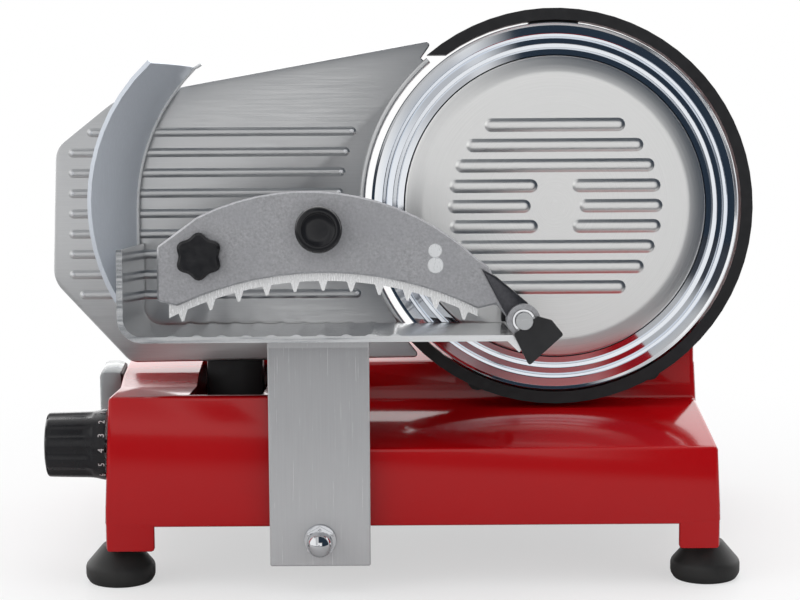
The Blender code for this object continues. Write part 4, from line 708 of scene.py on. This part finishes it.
def cast_marks():
    """The two plain round marks, one above the other, on the meat grip."""
    for number, (x, z, radius) in enumerate(MARKS):
        work = bmesh.new()
        top = [(0.0, 0.00035), (radius - 0.0004, 0.00035)]
        revolve(work, top + [(radius, 0.0), (radius, -0.0010), (0.0, -0.0010)], 48)
        seat = PLATE @ Matrix.Translation((x, PUSHER_FACE, z))
        make_piece("cast_mark_%d" % number, work, "bright", "pusher", seat, angle=40.0)


def strip_edge(x):
    """The height of the meat grip's lower edge, an arc, at x."""
    return STRIP_CENTRE[1] + math.sqrt(STRIP_RADIUS ** 2 - (x - STRIP_CENTRE[0]) ** 2)


def toothed_strip():
    """The steel strip behind the meat grip, which shows along its lower edge, with pointed teeth."""
    work = bmesh.new()
    length = STRIP_RIGHT - STRIP_LEFT
    outline = []
    for step in range(49):
        x = STRIP_LEFT + length * step / 48
        outline.append((x, strip_edge(x) + STRIP_ABOVE))
    flat = [(share, 0.0) for share in (0.0, 0.18, 0.34)]
    tooth = flat + [(0.46, TOOTH_DEPTH), (0.54, TOOTH_DEPTH), (0.66, 0.0), (0.82, 0.0)]
    lower = []
    pitch = length / STRIP_TEETH
    for number in range(STRIP_TEETH):
        for share, drop in tooth:
            x = STRIP_LEFT + pitch * (number + share)
            lower.append((x, strip_edge(x) - STRIP_BELOW - drop))
    lower.append((STRIP_RIGHT, strip_edge(STRIP_RIGHT) - STRIP_BELOW))
    outline += lower[::-1]
    front = PUSHER_FACE + STRIP_BEHIND
    ring_faces(work, [[(x, y, z) for x, z in outline] for y in (front + STRIP_THICKNESS, front)])
    strip = make_piece("toothed_strip", work, "strip", "pusher", PLATE)
    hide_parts("tooth_strip")


def rear_block():
    """The narrow rear block that holds the pusher's rod."""
    work = bmesh.new()
    ring_faces(work, [[(x, y, z) for x, z in REAR_BLOCK] for y in (-0.013, -0.003)])
    block = make_piece("narrow_rear_block", work, "gloss_black", "carriage", PLATE,
                       bevel=0.0008)
    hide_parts("rear_rod_block")


def cast_neck():
    """The meat grip's dark cast neck, which reaches down to the hub."""
    work = bmesh.new()
    middle_x = sum(x for x, z in NECK) / 6
    middle_z = sum(z for x, z in NECK) / 6
    rings = []
    for y, share in ((-0.1350, 0.86), (-0.1345, 0.97), (-0.1330, 1.0), (-0.1260, 1.0)):
        ring = []
        for x, z in NECK:
            ring.append((middle_x + (x - middle_x) * share, y, middle_z + (z - middle_z) * share))
        rings.append(ring)
    ring_faces(work, rings)
    make_piece("cast_neck", work, "neck", "pusher", PLATE, bevel=0.0003)


def guard_hem():
    """The folded bright hem along the hand guard's far edge, which flicks out at the top."""
    work = bmesh.new()
    spine = []
    for step in range(41):
        height = -0.040 + 0.1238 * step / 40
        along = GUARD_FAR_X + GUARD_FAR_RADIUS - math.sqrt(GUARD_FAR_RADIUS ** 2 - max(height, 0.0) ** 2)
        spine.append(Vector((along, -0.0046, height)))
    spine += [spine[-1] + Vector((0.0018, 0.0002, 0.0009)), spine[-1] + Vector((0.0036, 0.0004, 0.0022))]
    turns = [2 * math.pi * turn / 12 for turn in range(12)]
    back = Vector((0.0, 1.0, 0.0))
    rings = []
    for index, spot in enumerate(spine):
        along = (spine[min(index + 1, len(spine) - 1)] - spine[max(index - 1, 0)]).normalized()
        side = along.cross(back).normalized()
        rings.append([tuple(spot + HEM_RADIUS * (math.cos(t) * side + math.sin(t) * back)) for t in turns])
    ring_faces(work, rings)
    make_piece("guard_hem", work, "bright", "carriage", PLATE, angle=50.0)


def rib_tips():
    """Small bright domes on the ends of the thickness plate's ribs, which paint the highlight dot at each rib
    end.
    """
    profile = [(0.0, 0.00150), (0.0007, 0.00140), (0.0012, 0.00110), (0.0015, 0.0006), (0.0, 0.0005)]
    for row in range(RIB_ROWS):
        height, left, right = gauge_rib(row)
        for side, x in (("left", left + 0.0098), ("right", right - 0.0024)):
            work = bmesh.new()
            revolve(work, profile, 20)
            seat = PLATE @ Matrix.Translation((x, 0.0, height))
            # The domes' bright finish is a painted highlight for the glint at each rib end.
            make_piece("rib_tip_%s_%d" % (side, row), work, "bright", "gauge", seat, angle=60.0)


def add_camera():
    """The photograph's viewpoint, with the small roll of its picture about the camera's own axis."""
    lens = bpy.data.cameras.new("camera")
    lens.lens = 130.5
    lens.sensor_width = 36.0
    lens.clip_start = 0.1
    lens.clip_end = 20.0
    camera = bpy.data.objects.new("camera", lens)
    camera.location = (-0.0020, -1.71295, 0.4620)
    pitch = Matrix.Rotation(math.radians(79.59), 4, "X")
    roll = Matrix.Rotation(math.radians(-0.36), 4, "Z")
    camera.rotation_euler = (pitch @ roll).to_euler()
    bpy.context.scene.collection.objects.link(camera)
    bpy.context.scene.camera = camera


def add_lamp(name, location, width, height, power):
    """A soft square lamp aimed at the machine, which metal doesn't reflect."""
    lamp = bpy.data.lights.new(name, "AREA")
    lamp.shape = "RECTANGLE"
    lamp.size = width
    lamp.size_y = height
    lamp.energy = power
    holder = bpy.data.objects.new(name, lamp)
    holder.location = location
    holder.visible_glossy = False
    aim = Vector((0.0, 0.0, 0.12)) - Vector(location)
    holder.rotation_euler = aim.to_track_quat("-Z", "Y").to_euler()
    bpy.context.scene.collection.objects.link(holder)


class World(Shader):
    """The same short calls for the world's nodes."""

    def __init__(self):
        self.world = bpy.data.worlds.new("studio")
        self.world.use_nodes = True
        self.nodes = self.world.node_tree.nodes
        self.links = self.world.node_tree.links
        self.surface = self.nodes["Background"]


def add_world():
    """White to the camera. Polished metal shows a pale room that is dark on the right, above and below."""
    sky = World()
    bpy.context.scene.world = sky.world
    direction = sky.node("ShaderNodeTexCoord").outputs["Generated"]
    parts = sky.node("ShaderNodeSeparateXYZ", {0: direction})
    x, y, z = (parts.outputs[axis] for axis in "XYZ")
    right = sky.span(x, 0.30, 0.40)
    above = sky.times(sky.span(z, 0.40, 0.50), sky.span(x, -0.30, -0.10))
    below = sky.times(sky.span(z, -0.22, -0.34), sky.span(x, -0.20, -0.06))
    dark = sky.math("MAXIMUM", right, sky.math("MAXIMUM", above, below))
    room = sky.mix(sky.times(dark, sky.span(y, 0.10, -0.10)), ROOM_LIGHT, ROOM_DARK)
    left = sky.times(sky.span(x, -0.24, -0.34), sky.span(x, -0.62, -0.50))
    room = sky.mix(sky.times(left, sky.span(z, 0.02, 0.12), 0.55), room, ROOM_SHADE)
    across = sky.times(sky.span(x, -0.24, -0.14), sky.span(x, 0.0, -0.02))
    height = sky.times(sky.span(z, 0.035, 0.065), sky.span(z, 0.22, 0.14))
    person = sky.times(across, height, sky.span(y, -0.6, -0.8), 0.9)
    room = sky.mix(person, room, ROOM_DARK)
    room = sky.mix(sky.span(y, 0.20, 0.40), room, BACKDROP)
    rays = sky.node("ShaderNodeLightPath")
    reflected = sky.mix(rays.outputs["Is Glossy Ray"], (0.62, 0.63, 0.64), room)
    straight = sky.math("MAXIMUM", rays.outputs["Is Camera Ray"], rays.outputs["Is Transmission Ray"])
    sky.feed(sky.surface.inputs["Color"], sky.mix(straight, reflected, (1.0, 1.0, 1.0)))


def add_floor():
    """A white table, which turns pure white to the camera away from the machine.

    Polished metal sees it grey near the machine and dark further in front.
    """
    mesh = bpy.data.meshes.new("floor")
    side, front, back = 3.0, -2.6, 3.0
    corners = [(-side, front, 0.0), (side, front, 0.0), (side, back, 0.0), (-side, back, 0.0)]
    mesh.from_pydata(corners, [], [(0, 1, 2, 3)])
    floor = bpy.data.objects.new("floor", mesh)
    bpy.context.scene.collection.objects.link(floor)
    shader = Shader("pale_floor")
    place = shader.node("ShaderNodeNewGeometry").outputs["Position"]
    front_way = shader.node("ShaderNodeSeparateXYZ", {0: place}).outputs["Y"]
    seen = shader.mix(shader.span(front_way, -0.54, -0.34), (0.035, 0.04, 0.05), (0.50, 0.50, 0.50))
    rays = shader.node("ShaderNodeLightPath")
    tint = shader.mix(rays.outputs["Is Glossy Ray"], (0.86, 0.86, 0.86), seen)
    shader.set(Base_Color=tint, Roughness=0.5, Specular_IOR_Level=0.1)
    glow = shader.node("ShaderNodeEmission", {"Color": (1.0, 1.0, 1.0, 1.0), "Strength": 1.0})
    lit = shader.node("ShaderNodeMixShader")
    apart = shader.vector("LENGTH", place)
    share = shader.span(apart, 0.20, 0.50, 0.55, 1.0)
    shader.feed(lit.inputs[0], shader.math("MULTIPLY", rays.outputs["Is Camera Ray"], share))
    shader.links.new(shader.surface.outputs[0], lit.inputs[1])
    shader.links.new(glow.outputs[0], lit.inputs[2])
    shader.links.new(lit.outputs[0], shader.nodes["Material Output"].inputs["Surface"])
    mesh.materials.append(shader.material)


def add_stage():
    """The world, the table and the lamps."""
    add_world()
    add_floor()
    for name, place, width, height, power in LAMPS:
        add_lamp(name, place, width, height, power)


dress_nodes()
ribbed_cover()
ribbed_gauge()
fluted_dial()
rubber_feet()
enamel_base()
banded_blade()
round_knob()
cast_marks()
toothed_strip()
rear_block()
cast_neck()
guard_hem()
rib_tips()
add_camera()
add_stage()

bpy.context.scene.view_settings.view_transform = "Standard"
bpy.context.view_layer.update()
